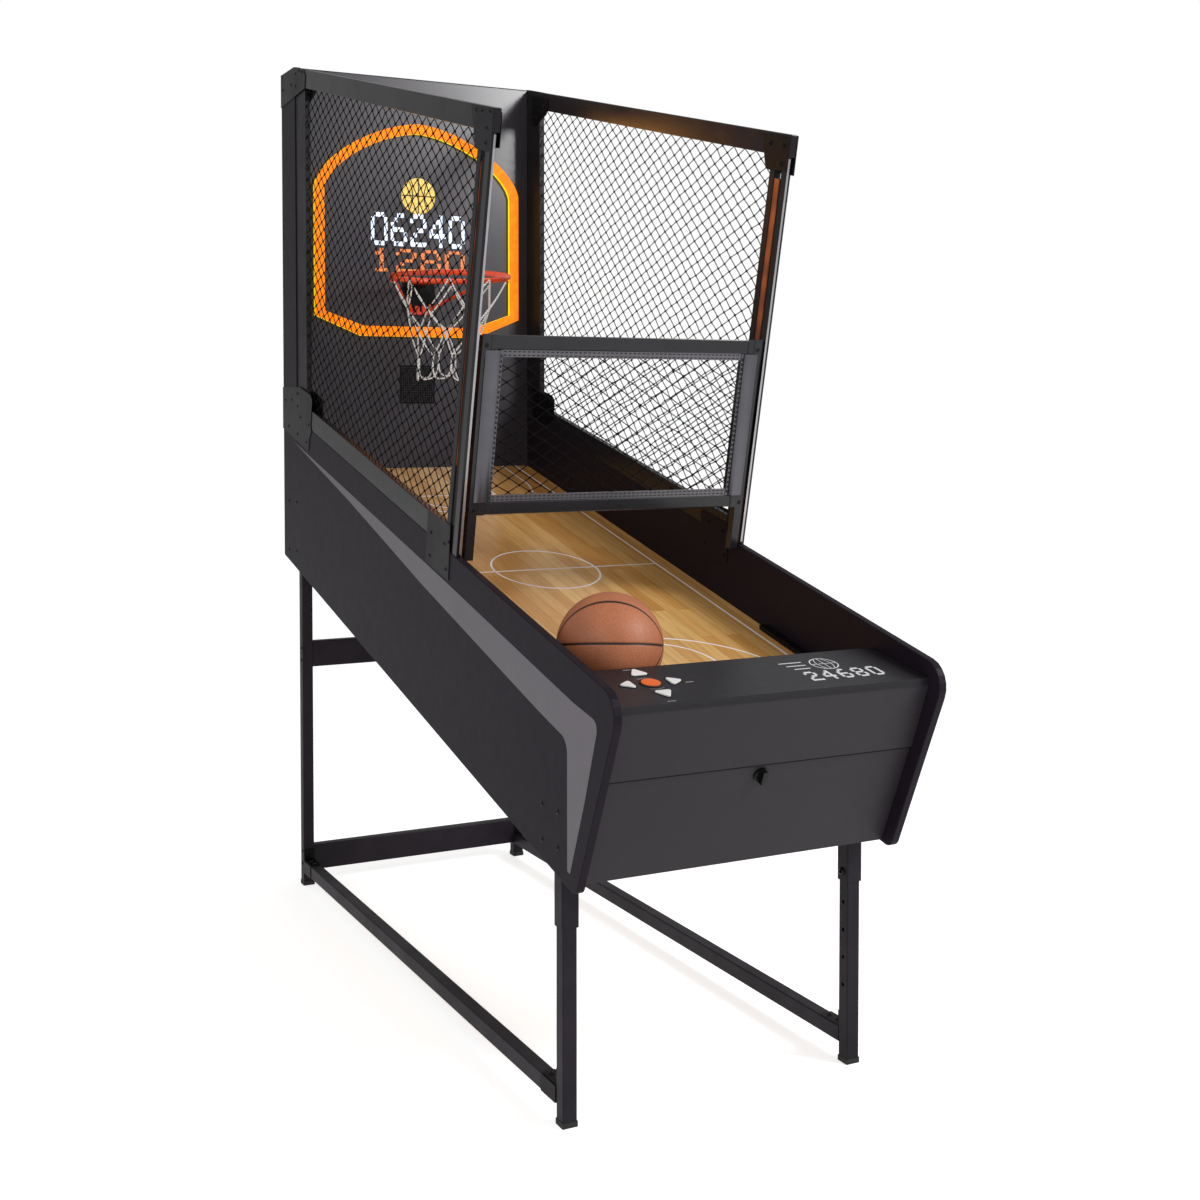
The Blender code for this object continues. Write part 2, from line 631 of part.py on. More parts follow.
def build_cage():
    """Two side frames with nets, corner plates, outer uprights and lit strips."""
    steel = finish("cage_rail", "2B292C", 0.4)
    silver = finish("upright_metal", "3A3A3D", 0.25, 0.8)
    lit = finish("strip_lit", "F7A235", 0.4)
    mesh = finish("cage_net", "1A1A1C", 0.8)

    strip_near = UPRIGHT_D + GAP
    post_near = strip_near + STRIP_D + GAP
    post_far = post_near + POST_D

    def under_rail(y):
        return rail_z(y) - RAIL_H

    rear = POST_Y[0] - GAP
    front_top = lean_meets(-0.008, rail_z, 0.0)
    front_under = lean_meets(-0.008, under_rail, 0.0)
    top_rail = [front_top, front_under, (rear, under_rail(rear)), (rear, rail_z(rear))]
    low_a = lean_meets(post_far + GAP, seam_z, GAP)
    low_b = lean_meets(post_far + GAP, seam_z, LOWER_RAIL_H)
    lower_rail = [low_b, low_a, (rear, seam_z(rear) + GAP), (rear, seam_z(rear) + LOWER_RAIL_H)]
    net_low = lean_meets(post_far + GAP, seam_z, LOWER_RAIL_H + GAP)
    net_high = lean_meets(post_far + GAP, under_rail, -GAP)
    net = [net_high, net_low, (rear, seam_z(rear) + LOWER_RAIL_H + GAP),
           (rear, under_rail(rear) - GAP)]
    rear_post = [(POST_Y[0], seam_z(POST_Y[0]) + GAP), (POST_Y[1], seam_z(POST_Y[1]) + GAP),
                 (POST_Y[1], 2.414), (POST_Y[0], rail_z(POST_Y[0]))]
    front_post = leaning_outline(post_near, post_far, seam_z, GAP, under_rail, -GAP)
    upright = leaning_outline(0.0, UPRIGHT_D, seam_z, GAP, under_rail, -GAP)
    strip = leaning_outline(strip_near, strip_near + STRIP_D, seam_z, GAP,
                            lambda y: STRIP_TOP + SLOPE * (y + 0.47), 0.0)

    upper_rear = [(REAR_Y, 2.418), (0.943, 2.418), (0.846, 2.394), (0.826, 2.371), (0.836, 2.338),
                  (REAR_Y, 2.322)]
    lower_rear = [(REAR_Y, 1.489), (0.905, 1.487), (0.800, 1.464), (0.782, 1.450), (0.782, 1.438),
                  (0.797, 1.375), (0.790, 1.360), (0.809, 1.339), (0.820, 1.303), (REAR_Y, 1.366)]
    upper_front = [(-0.4156, 2.084), (-0.5385, 2.054), (-0.5190, 1.965), (-0.4370, 1.985)]
    lower_front = [(-0.1465, 1.191), (-0.2855, 1.164), (-0.2695, 1.038), (-0.1250, 1.070)]

    for word, side in SIDES:
        low, high = mirrored(side, PANEL_IN, PANEL_OUT)
        bevel(put("cage_top_rail_%s" % word, prism_mesh("X", top_rail, low, high), steel), 0.0015)
        bevel(put("cage_lower_rail_%s" % word, prism_mesh("X", lower_rail, low, high), steel), 0.0015)
        plates = mirrored(side, PANEL_OUT + GAP, PANEL_OUT + GAP + PLATE_T)
        pads = mirrored(side, PANEL_OUT - 0.006, PANEL_OUT + GAP + PLATE_T / 2)

        low2, high2 = mirrored(side, PANEL_IN, PANEL_OUT - 0.003)
        post = put("cage_rear_post_%s" % word, prism_mesh("X", rear_post, low2, high2), steel)
        join(post, prism_mesh("X", upper_rear, *plates), "upper_plate")
        join(post, prism_mesh("X", rectangle(0.862, 0.925, 2.345, 2.385), *pads), "upper_pad")
        join(post, prism_mesh("X", lower_rear, *plates), "lower_plate")
        join(post, prism_mesh("X", rectangle(0.862, 0.925, 1.415, 1.455), *pads), "lower_pad")

        post = put("cage_front_post_%s" % word, prism_mesh("X", front_post, low, high), steel)
        join(post, prism_mesh("X", upper_front, *plates), "upper_plate")
        y = upright_y(1.990) + post_near
        join(post, prism_mesh("X", rectangle(y + 0.005, y + 0.016, 1.980, 1.994), *pads), "upper_pad")
        join(post, prism_mesh("X", lower_front, *plates), "lower_plate")
        y = upright_y(1.135) + post_near
        join(post, prism_mesh("X", rectangle(y + 0.004, y + 0.016, 1.125, 1.145), *pads), "lower_pad")

        a, b = mirrored(side, *UPRIGHT_X)
        bevel(put("upright_%s" % word, prism_mesh("X", upright, a, b), silver), 0.001)
        a, b = mirrored(side, 0.3640, 0.3775)
        bevel(put("light_strip_%s" % word, prism_mesh("X", strip, a, b), lit), 0.001, 1)
        a, b = mirrored(side, 0.3697, 0.3717)
        put("side_net_%s" % word, prism_mesh("X", net, a, b), mesh)


def catcher_band(z0, z1, back=CATCH_D, inset=0.0):
    """Outline, in Y and Z, of a catcher member that leans with the frame."""
    return [(catcher_y(z0) + inset, z0), (catcher_y(z0) + back, z0), (catcher_y(z1) + back, z1),
            (catcher_y(z1) + inset, z1)]


def build_catcher():
    """Net frame across the front, above the gap where the balls come back."""
    steel = finish("catcher_rail", "2E2C2F", 0.35)
    silver = finish("catcher_side", "77767A", 0.35, 0.6)
    mesh = finish("catcher_net", "1A1A1C", 0.8)
    for word, side in SIDES:
        a, b = mirrored(side, CATCH_LEG, CATCH_OUT)
        post = prism_mesh("X", catcher_band(CATCH_FOOT_Z, CATCH_TOP_Z[0] - GAP), a, b)
        body = put("catcher_side_%s" % word, post, silver)
        a, b = mirrored(side, CATCH_IN, CATCH_LEG + 0.004)
        join(body, prism_mesh("X", catcher_band(CATCH_LOW_Z[1] + GAP, CATCH_TOP_Z[0] - GAP, 0.014,
                                              0.004), a, b), "net_bar")
    top = prism_mesh("X", catcher_band(*CATCH_TOP_Z), -CATCH_OUT, CATCH_OUT)
    bevel(put("catcher_top_rail", top, steel), 0.002)
    reach = CATCH_LEG - GAP
    low = prism_mesh("X", catcher_band(*CATCH_LOW_Z), -reach, reach)
    bevel(put("catcher_bottom_rail", low, steel), 0.002)
    reach = CATCH_IN - GAP
    net = prism_mesh("X", catcher_band(CATCH_LOW_Z[1] + GAP, CATCH_TOP_Z[0] - GAP, 0.010, 0.008),
                     -reach, reach)
    put("catcher_net", net, mesh)


def build_ball():
    """Hollow ball at rest on the court, against the wall under the deck."""
    leather = finish("ball_cover", "B8634A", 0.55)
    y = WALL_Y + BALL_R + GAP
    normal = Vector((0.0, -COURT_SLOPE, 1.0)).normalized()
    z = court_z(y) + (BALL_R + GAP) / normal.z
    centre = (BALL_X, y, z)

    def sphere(radius, segments):
        bm = bmesh.new()
        bmesh.ops.create_uvsphere(bm, u_segments=segments, v_segments=segments // 2, radius=radius)
        bm.transform(Matrix.Translation(centre))
        return bm

    ball = add("ball", sphere(BALL_R, 32), leather, centre)
    smooth(ball)
    cut(ball, sphere(BALL_R - BALL_WALL, 20), "hollow")
    cut(ball, box_mesh((BALL_X + 0.02, BALL_X + 0.12), (y - 0.0015, y + 0.0015), (z - 0.0015, z + 0.0015)),
        "valve")


def main():
    for obj in list(bpy.data.objects):
        bpy.data.objects.remove(obj, do_unlink=True)
    build_base()
    build_panels()
    build_court()
    build_deck()
    build_front()
    build_sleeves()
    build_back_box()
    build_hoop()
    build_cage()
    build_catcher()
    build_ball()


main()
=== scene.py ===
"""Looks of the basketball hoop machine: finishes, nets, lit parts, bolts and printed lines."""

import logging
import math
from dataclasses import dataclass, field
from enum import Enum

import bmesh
import bpy
import numpy as np
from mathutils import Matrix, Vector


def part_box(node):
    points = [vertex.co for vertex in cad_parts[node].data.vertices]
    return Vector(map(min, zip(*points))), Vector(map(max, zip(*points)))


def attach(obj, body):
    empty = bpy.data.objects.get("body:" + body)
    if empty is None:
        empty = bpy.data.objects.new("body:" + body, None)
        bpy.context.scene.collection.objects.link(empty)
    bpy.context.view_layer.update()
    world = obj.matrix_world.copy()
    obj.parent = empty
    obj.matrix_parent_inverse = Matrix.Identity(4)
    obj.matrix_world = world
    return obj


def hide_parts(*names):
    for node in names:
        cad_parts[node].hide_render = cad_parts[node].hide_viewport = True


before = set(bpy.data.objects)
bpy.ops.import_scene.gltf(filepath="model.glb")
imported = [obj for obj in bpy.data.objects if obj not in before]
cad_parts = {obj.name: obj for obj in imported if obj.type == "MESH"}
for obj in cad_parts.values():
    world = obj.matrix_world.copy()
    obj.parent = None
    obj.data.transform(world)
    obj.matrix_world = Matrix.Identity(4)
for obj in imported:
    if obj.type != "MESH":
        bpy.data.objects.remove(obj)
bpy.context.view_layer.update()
LOG = logging.getLogger("hoop_machine")
TAU = 2.0 * math.pi
Material = bpy.types.Material
Array = np.ndarray

PANEL_IN = 0.3617                 # inner face of the side panels, metres from the middle
PANEL_OUT = 0.3797                # outer face of the side panels
PLATE_OUT = 0.3816                # outer face of the corner plates
BOARD_FACE = 0.9400               # front face of the backboard
REAR_FACE = 1.0805                # rear face of the back cover
MIX_A, MIX_B, MIX_OUT = 6, 7, 2   # colour sockets of a Mix node, by their places


class Body(Enum):
    """Bodies that a piece can ride on."""

    BASE = "base"
    CABINET = "cabinet"
    DOOR = "service_door"
    BALL = "ball"


class Axis(Enum):
    """World axes, by the place of the coordinate that runs along them."""

    X = 0
    Y = 1
    Z = 2


# --------------------------------------------------------------- shader tools
def linear_rgba(code: str, alpha: float = 1.0) -> tuple[float, float, float, float]:
    """Turn an sRGB hex colour into linear light.

    Args:
        code: Six hex digits.
        alpha: Fourth channel.

    Returns:
        Linear red, green, blue and alpha.
    """
    values = [int(code[i:i + 2], 16) / 255.0 for i in (0, 2, 4)]
    curve = [v / 12.92 if v <= 0.04045 else ((v + 0.055) / 1.055) ** 2.4 for v in values]
    return (curve[0], curve[1], curve[2], alpha)


def add_node(tree: bpy.types.NodeTree, kind: str, settings: dict | None = None,
             links: dict | None = None) -> bpy.types.Node:
    """Add one shader node, set its values and join its inputs.

    Args:
        tree: Node tree of the material.
        kind: Blender's node type name.
        settings: Attribute names, or input names or places, and the value of each. Under
            "stops" a colour ramp takes its list of places and colours, low to high.
        links: Input names or places, and the output socket that feeds each.

    Returns:
        The new node.
    """
    node = tree.nodes.new(kind)
    for key, value in (settings or {}).items():
        if key == "stops":
            elements = node.color_ramp.elements
            for index, (place, colour) in enumerate(value):
                element = elements[index] if index < 2 else elements.new(place)
                element.position = place
                element.color = colour
        elif isinstance(key, str) and hasattr(node, key):
            setattr(node, key, value)
        else:
            node.inputs[key].default_value = value
    for key, socket in (links or {}).items():
        tree.links.new(socket, node.inputs[key])
    return node


@dataclass(frozen=True)
class Finish:
    """Base of every finish: a name, a colour and how it shines."""

    name: str
    colour: str
    roughness: float = 0.5
    metallic: float = 0.0
    specular: float = 0.5
    coat: float = 0.0
    coat_roughness: float = 0.1

    def start(self) -> tuple[Material, bpy.types.NodeTree, bpy.types.Node]:
        """Make the material with its shader's fixed values.

        Returns:
            Material, its node tree and its Principled shader.
        """
        material = bpy.data.materials.new(self.name)
        material.use_nodes = True
        tree = material.node_tree
        shader = tree.nodes["Principled BSDF"]
        shader.inputs["Base Color"].default_value = linear_rgba(self.colour)
        shader.inputs["Roughness"].default_value = self.roughness
        shader.inputs["Metallic"].default_value = self.metallic
        shader.inputs["Specular IOR Level"].default_value = self.specular
        shader.inputs["Coat Weight"].default_value = self.coat
        shader.inputs["Coat Roughness"].default_value = self.coat_roughness
        return material, tree, shader

    def place(self, tree: bpy.types.NodeTree, scale: tuple[float, float, float] = (1, 1, 1),
              turn: tuple[float, float, float] = (0, 0, 0)) -> bpy.types.NodeSocket:
        """Object coordinates, scaled and turned.

        Args:
            tree: Node tree of the material.
            scale: Factor along each axis.
            turn: Angles about each axis.

        Returns:
            Vector socket for a texture.
        """
        source = add_node(tree, "ShaderNodeTexCoord").outputs["Object"]
        mapped = add_node(tree, "ShaderNodeMapping", {"Scale": scale, "Rotation": turn},
                          {"Vector": source})
        return mapped.outputs["Vector"]

    def shade(self, factor: float, lift: float = 0.0) -> tuple[float, float, float, float]:
        """The finish's own colour, darker or paler by a factor and a lift."""
        return tuple(min(1.0, c * factor + lift) for c in linear_rgba(self.colour)[:3]) + (1.0,)

    def make(self) -> Material:
        """Build the material; each kind of finish says how."""
        raise NotImplementedError


@dataclass(frozen=True)
class Laminate(Finish):
    """Melamine-faced board: fine grain in relief, slightly uneven tone, faint rubbing marks."""

    grain_mm: float = 1.6
    relief: float = 0.12
    cloud: float = 3.2
    rub: float = 38.0

    def make(self) -> Material:
        """Noise at grain size gives relief; broad noise shifts tone and shine a little."""
        material, tree, shader = self.start()
        fine = add_node(tree, "ShaderNodeTexNoise",
                        {"Scale": 1000.0 / self.grain_mm, "Detail": 3.0, "Roughness": 0.6},
                        {"Vector": self.place(tree)})
        broad = add_node(tree, "ShaderNodeTexNoise",
                         {"Scale": self.cloud, "Detail": 6.0, "Roughness": 0.55},
                         {"Vector": self.place(tree)})
        rub = add_node(tree, "ShaderNodeTexNoise", {"Scale": self.rub, "Detail": 4.0},
                       {"Vector": self.place(tree)})
        tone = add_node(tree, "ShaderNodeValToRGB",
                        {"stops": [(0.30, self.shade(0.95)), (0.70, self.shade(1.06))]},
                        {"Fac": broad.outputs["Fac"]})
        speck = add_node(tree, "ShaderNodeValToRGB",
                         {"stops": [(0.35, (0.86, 0.86, 0.86, 1)), (0.62, (1, 1, 1, 1))]},
                         {"Fac": fine.outputs["Fac"]})
        mixed = add_node(tree, "ShaderNodeMix",
                         {"data_type": "RGBA", "blend_type": "MULTIPLY", "Factor": 1.0},
                         {MIX_A: tone.outputs["Color"], MIX_B: speck.outputs["Color"]})
        shine = add_node(tree, "ShaderNodeMapRange",
                         {"From Min": 0.3, "From Max": 0.7, "To Min": self.roughness - 0.015,
                          "To Max": self.roughness + 0.02}, {"Value": rub.outputs["Fac"]})
        bump = add_node(tree, "ShaderNodeBump", {"Strength": self.relief, "Distance": 0.0003},
                        {"Height": fine.outputs["Fac"]})
        tree.links.new(mixed.outputs[MIX_OUT], shader.inputs["Base Color"])
        tree.links.new(shine.outputs["Result"], shader.inputs["Roughness"])
        tree.links.new(bump.outputs["Normal"], shader.inputs["Normal"])
        return material


@dataclass(frozen=True)
class PowderCoat(Finish):
    """Powder-coated steel: orange-peel relief about 1 mm across, paler and smoother in scattered rubbed
    patches.
    """

    peel_mm: float = 1.1
    patch: float = 9.0
    relief: float = 0.16

    def make(self) -> Material:
        """Orange peel is rounded noise in relief; rubbed patches are a little paler and smoother."""
        material, tree, shader = self.start()
        peel = add_node(tree, "ShaderNodeTexNoise",
                        {"Scale": 1000.0 / self.peel_mm, "Detail": 1.5}, {"Vector": self.place(tree)})
        patch = add_node(tree, "ShaderNodeTexNoise",
                         {"Scale": self.patch, "Detail": 8.0, "Roughness": 0.62},
                         {"Vector": self.place(tree)})
        tone = add_node(tree, "ShaderNodeValToRGB",
                        {"stops": [(0.38, self.shade(0.9)), (0.72, self.shade(1.18, 0.002))]},
                        {"Fac": patch.outputs["Fac"]})
        shine = add_node(tree, "ShaderNodeMapRange",
                         {"From Min": 0.3, "From Max": 0.75, "To Min": self.roughness + 0.05,
                          "To Max": max(0.05, self.roughness - 0.07)}, {"Value": patch.outputs["Fac"]})
        bump = add_node(tree, "ShaderNodeBump", {"Strength": self.relief, "Distance": 0.0003},
                        {"Height": peel.outputs["Fac"]})
        tree.links.new(tone.outputs["Color"], shader.inputs["Base Color"])
        tree.links.new(shine.outputs["Result"], shader.inputs["Roughness"])
        tree.links.new(bump.outputs["Normal"], shader.inputs["Normal"])
        return material


@dataclass(frozen=True)
class Brushed(Finish):
    """Drawn aluminium: fine lines along its length."""

    along: tuple[float, float, float] = (1.0, 1.0, 0.01)
    lines_per_m: float = 900.0

    def make(self) -> Material:
        """Noise stretched along the length gives tone and relief."""
        material, tree, shader = self.start()
        lines = add_node(tree, "ShaderNodeTexNoise", {"Scale": self.lines_per_m, "Detail": 3.0},
                         {"Vector": self.place(tree, self.along)})
        tone = add_node(tree, "ShaderNodeValToRGB",
                        {"stops": [(0.35, self.shade(0.82)), (0.65, self.shade(1.15))]},
                        {"Fac": lines.outputs["Fac"]})
        bump = add_node(tree, "ShaderNodeBump", {"Strength": 0.1, "Distance": 0.0002},
                        {"Height": lines.outputs["Fac"]})
        tree.links.new(tone.outputs["Color"], shader.inputs["Base Color"])
        tree.links.new(bump.outputs["Normal"], shader.inputs["Normal"])
        return material


@dataclass(frozen=True)
class Moulded(Finish):
    """Moulded plastic: very fine spark texture and slight unevenness of tone."""

    spark_mm: float = 0.6
    relief: float = 0.08
    cloud: float = 14.0

    def make(self) -> Material:
        """Fine noise in relief, broad noise in tone."""
        material, tree, shader = self.start()
        spark = add_node(tree, "ShaderNodeTexNoise", {"Scale": 1000.0 / self.spark_mm, "Detail": 2.0},
                         {"Vector": self.place(tree)})
        broad = add_node(tree, "ShaderNodeTexNoise", {"Scale": self.cloud, "Detail": 4.0},
                         {"Vector": self.place(tree)})
        tone = add_node(tree, "ShaderNodeValToRGB",
                        {"stops": [(0.35, self.shade(0.93)), (0.65, self.shade(1.06))]},
                        {"Fac": broad.outputs["Fac"]})
        bump = add_node(tree, "ShaderNodeBump", {"Strength": self.relief, "Distance": 0.0002},
                        {"Height": spark.outputs["Fac"]})
        tree.links.new(tone.outputs["Color"], shader.inputs["Base Color"])
        tree.links.new(bump.outputs["Normal"], shader.inputs["Normal"])
        return material


@dataclass(frozen=True)
class Lit(Finish):
    """Diffuser lit from behind: evenly spaced light-emitting diodes show as soft beads."""

    strength: float = 1.6
    edge: str = "FFD000"
    bead_mm: float = 16.0

    def make(self) -> Material:
        """Beads are smooth cell noise at the spacing of the diodes, mixed from edge to body colour."""
        material, tree, shader = self.start()
        beads = add_node(tree, "ShaderNodeTexVoronoi",
                         {"Scale": 1000.0 / self.bead_mm, "feature": "SMOOTH_F1"},
                         {"Vector": self.place(tree)})
        glow = add_node(tree, "ShaderNodeValToRGB",
                        {"stops": [(0.10, linear_rgba(self.edge)), (0.55, linear_rgba(self.colour))]},
                        {"Fac": beads.outputs["Distance"]})
        tree.links.new(glow.outputs["Color"], shader.inputs["Emission Color"])
        tree.links.new(glow.outputs["Color"], shader.inputs["Base Color"])
        shader.inputs["Emission Strength"].default_value = self.strength
        return material


@dataclass(frozen=True)
class CourtWood(Finish):
    """Sports floor of strips 34 mm wide and about half a metre long, lacquered."""

    strip_m: float = 0.034
    length_m: float = 0.46
    joint_m: float = 0.0007
    pale: str = "F4C882"
    deep: str = "D69E54"
    joint: str = "BC864A"

    def make(self) -> Material:
        """Bricks turned along the court give strips; stretched noise gives grain within them."""
        material, tree, shader = self.start()
        strips = add_node(tree, "ShaderNodeTexBrick",
                          {"offset": 0.37, "Color1": linear_rgba(self.pale),
                           "Color2": linear_rgba(self.deep), "Mortar": linear_rgba(self.joint),
                           "Scale": 1.0, "Mortar Size": self.joint_m, "Mortar Smooth": 0.3,
                           "Brick Width": self.length_m, "Row Height": self.strip_m},
                          {"Vector": self.place(tree, turn=(0.0, 0.0, math.pi / 2))})
        grain = add_node(tree, "ShaderNodeTexNoise",
                         {"Scale": 150.0, "Detail": 7.0, "Roughness": 0.62, "Distortion": 0.35},
                         {"Vector": self.place(tree, (1.0, 0.045, 0.045))})
        figure = add_node(tree, "ShaderNodeTexNoise",
                          {"Scale": 21.0, "Detail": 5.0, "Roughness": 0.6, "Distortion": 1.1},
                          {"Vector": self.place(tree, (1.0, 0.10, 0.10))})
        streak = add_node(tree, "ShaderNodeValToRGB",
                          {"stops": [(0.30, (0.80, 0.74, 0.66, 1)), (0.62, (1.04, 1.02, 1.0, 1))]},
                          {"Fac": grain.outputs["Fac"]})
        cloud = add_node(tree, "ShaderNodeValToRGB",
                         {"stops": [(0.30, (0.88, 0.84, 0.79, 1)), (0.68, (1.05, 1.04, 1.02, 1))]},
                         {"Fac": figure.outputs["Fac"]})
        first = add_node(tree, "ShaderNodeMix",
                         {"data_type": "RGBA", "blend_type": "MULTIPLY", "Factor": 0.85},
                         {MIX_A: strips.outputs["Color"], MIX_B: streak.outputs["Color"]})
        second = add_node(tree, "ShaderNodeMix",
                          {"data_type": "RGBA", "blend_type": "MULTIPLY", "Factor": 0.9},
                          {MIX_A: first.outputs[MIX_OUT], MIX_B: cloud.outputs["Color"]})
        bump = add_node(tree, "ShaderNodeBump", {"Strength": 0.10, "Distance": 0.0003},
                        {"Height": grain.outputs["Fac"]})
        tree.links.new(second.outputs[MIX_OUT], shader.inputs["Base Color"])
        tree.links.new(bump.outputs["Normal"], shader.inputs["Normal"])
        return material


@dataclass(frozen=True)
class BallCover(Finish):
    """Pebbled cover with black channels: pebbles 2.4 mm across, channels from the seam attribute."""

    pebble_mm: float = 2.4
    channel: str = "17110F"

    def make(self) -> Material:
        """Cell noise rises in pebbles and darkens the gaps between them as painted shade; the seam attribute
        blends the cover into black channels.
        """
        material, tree, shader = self.start()
        cells = add_node(tree, "ShaderNodeTexVoronoi", {"Scale": 1000.0 / self.pebble_mm},
                         {"Vector": self.place(tree)})
        blotch = add_node(tree, "ShaderNodeTexNoise", {"Scale": 18.0, "Detail": 5.0},
                          {"Vector": self.place(tree)})
        tone = add_node(tree, "ShaderNodeValToRGB",
                        {"stops": [(0.3, self.shade(0.90)), (0.7, self.shade(1.0))]},
                        {"Fac": blotch.outputs["Fac"]})
        # painted shade: the cover is darkened in the gaps between the pebbles
        pebble_gap_shade = add_node(tree, "ShaderNodeValToRGB",
                           {"stops": [(0.25, (1, 1, 1, 1)), (0.62, (0.80, 0.76, 0.74, 1))]},
                           {"Fac": cells.outputs["Distance"]})
        cover = add_node(tree, "ShaderNodeMix",
                         {"data_type": "RGBA", "blend_type": "MULTIPLY", "Factor": 1.0},
                         {MIX_A: tone.outputs["Color"], MIX_B: pebble_gap_shade.outputs["Color"]})
        seam = add_node(tree, "ShaderNodeAttribute", {"attribute_name": "seam"})
        mixed = add_node(tree, "ShaderNodeMix", {"data_type": "RGBA", MIX_B: linear_rgba(self.channel)},
                         {"Factor": seam.outputs["Fac"], MIX_A: cover.outputs[MIX_OUT]})
        bump = add_node(tree, "ShaderNodeBump", {"Strength": 0.35, "Distance": 0.0005, "invert": True},
                        {"Height": cells.outputs["Distance"]})
        tree.links.new(mixed.outputs[MIX_OUT], shader.inputs["Base Color"])
        tree.links.new(bump.outputs["Normal"], shader.inputs["Normal"])
        return material


@dataclass(frozen=True)
class Twine(Finish):
    """Twisted cord: slanting lay of the strands from the piece's own length coordinate."""

    lay_mm: float = 3.0

    def make(self) -> Material:
        """A wave over the UV map, slanted across the cord, lowers the gaps in the lay and darkens them with
        painted shade.
        """
        material, tree, shader = self.start()
        uv = add_node(tree, "ShaderNodeUVMap").outputs["UV"]
        mapped = add_node(tree, "ShaderNodeMapping", {"Scale": (1.0, 1000.0 / self.lay_mm, 1.0)},
                          {"Vector": uv})
        lay = add_node(tree, "ShaderNodeTexWave",
                       {"Scale": 1.0, "Distortion": 0.4, "bands_direction": "DIAGONAL"},
                       {"Vector": mapped.outputs["Vector"]})
        # painted shade: the gaps between the strands are darkened to half the cord's colour
        tone = add_node(tree, "ShaderNodeValToRGB",
                        {"stops": [(0.15, self.shade(0.50)), (0.6, self.shade(1.0))]},
                        {"Fac": lay.outputs["Fac"]})
        bump = add_node(tree, "ShaderNodeBump", {"Strength": 0.5, "Distance": 0.0004},
                        {"Height": lay.outputs["Fac"]})
        tree.links.new(tone.outputs["Color"], shader.inputs["Base Color"])
        tree.links.new(bump.outputs["Normal"], shader.inputs["Normal"])
        return material


# ---------------------------------------------------------------- mesh tools
Mesh = tuple[Array, list]


def rounded_outline(points: list[tuple[float, float]], radius: float | list[float],
                    steps: int = 6) -> Array:
    """Outline with each corner replaced by an arc tangent to both its sides.

    Args:
        points: Corners in order.
        radius: One radius, or one for each corner.
        steps: Arc divisions.

    Returns:
        Points as rows.
    """
    corners = np.asarray(points, float)
    before = np.roll(corners, 1, axis=0) - corners
    after = np.roll(corners, -1, axis=0) - corners
    before /= np.linalg.norm(before, axis=1, keepdims=True)
    after /= np.linalg.norm(after, axis=1, keepdims=True)
    half = 0.5 * np.arccos(np.clip((before * after).sum(1), -1, 1))
    size = np.broadcast_to(np.asarray(radius, float), half.shape)
    reach = (size / np.tan(half))[:, None]
    bisector = before + after
    bisector /= np.linalg.norm(bisector, axis=1, keepdims=True)
    centre = corners + bisector * (size / np.sin(half))[:, None]
    a = corners + before * reach - centre
    b = corners + after * reach - centre
    sweep = (math.pi - 2 * half)[:, None, None]
    t = np.linspace(0, 1, steps + 1)[None, :, None]
    arc = (a[:, None] * np.sin((1 - t) * sweep) + b[:, None] * np.sin(t * sweep)) / np.sin(sweep)
    return (centre[:, None] + arc).reshape(-1, 2)


def carry(profile: Array, path: Array, across: Array, up: Array,
          closed: bool = False) -> Mesh:
    """Closed profile carried along one or many paths.

    Point (i, j) is path i plus profile j's first value across and second value up.

    Args:
        profile: Closed outline, k rows of two values.
        path: n rows of three, or m paths of n rows.
        across: Unit vectors for the profile's first value, one for each path point.
        up: Unit vectors for its second value.
        closed: Whether the path's ends meet.

    Returns:
        Vertices and faces.
    """
    path = path[None] if path.ndim == 2 else path
    across = np.broadcast_to(across, path.shape)
    up = np.broadcast_to(up, path.shape)
    many, length, _ = path.shape
    size = len(profile)
    ring = (path[:, :, None] + across[:, :, None] * profile[None, None, :, :1]
            + up[:, :, None] * profile[None, None, :, 1:])
    index = np.arange(many * length * size).reshape(many, length, size)
    if closed:
        low, high = index, np.roll(index, -1, axis=1)
    else:
        low, high = index[:, :-1], index[:, 1:]
    quads = np.stack([low, np.roll(low, -1, axis=2), np.roll(high, -1, axis=2), high], axis=-1)
    faces = quads.reshape(-1, 4).tolist()
    if not closed:
        faces += index[:, 0, ::-1].tolist() + index[:, -1].tolist()
    return ring.reshape(-1, 3), faces


def frames_along(path: Array, reference: tuple[float, float, float],
                 closed: bool = False) -> tuple[Array, Array]:
    """Across and up vectors: across is tangent cross reference, up is across cross tangent.

    Args:
        path: Points as rows, for one path or many.
        reference: Direction that across is kept square to.
        closed: Whether the path's ends meet.

    Returns:
        Across and up, one of each for each point.
    """
    if closed:
        tangent = np.roll(path, -1, axis=-2) - np.roll(path, 1, axis=-2)
    else:
        tangent = np.gradient(path, axis=-2)
    tangent /= np.linalg.norm(tangent, axis=-1, keepdims=True) + 1e-12
    across = np.cross(tangent, np.asarray(reference, float))
    across /= np.linalg.norm(across, axis=-1, keepdims=True) + 1e-12
    return across, np.cross(across, tangent)


def circle(radius: float, sides: int) -> Array:
    """Points of a regular polygon."""
    angle = np.arange(sides) * TAU / sides
    return np.stack([radius * np.cos(angle), radius * np.sin(angle)], axis=1)


def rectangle(across: float, up: float, radius: float, steps: int) -> Array:
    """Rectangle round zero with rounded corners.

    Args:
        across: Half its width.
        up: Half its height.
        radius: Radius of the corners.
        steps: Arc divisions.

    Returns:
        Points as rows.
    """
    return rounded_outline([(-across, -up), (across, -up), (across, up), (-across, up)], radius, steps)


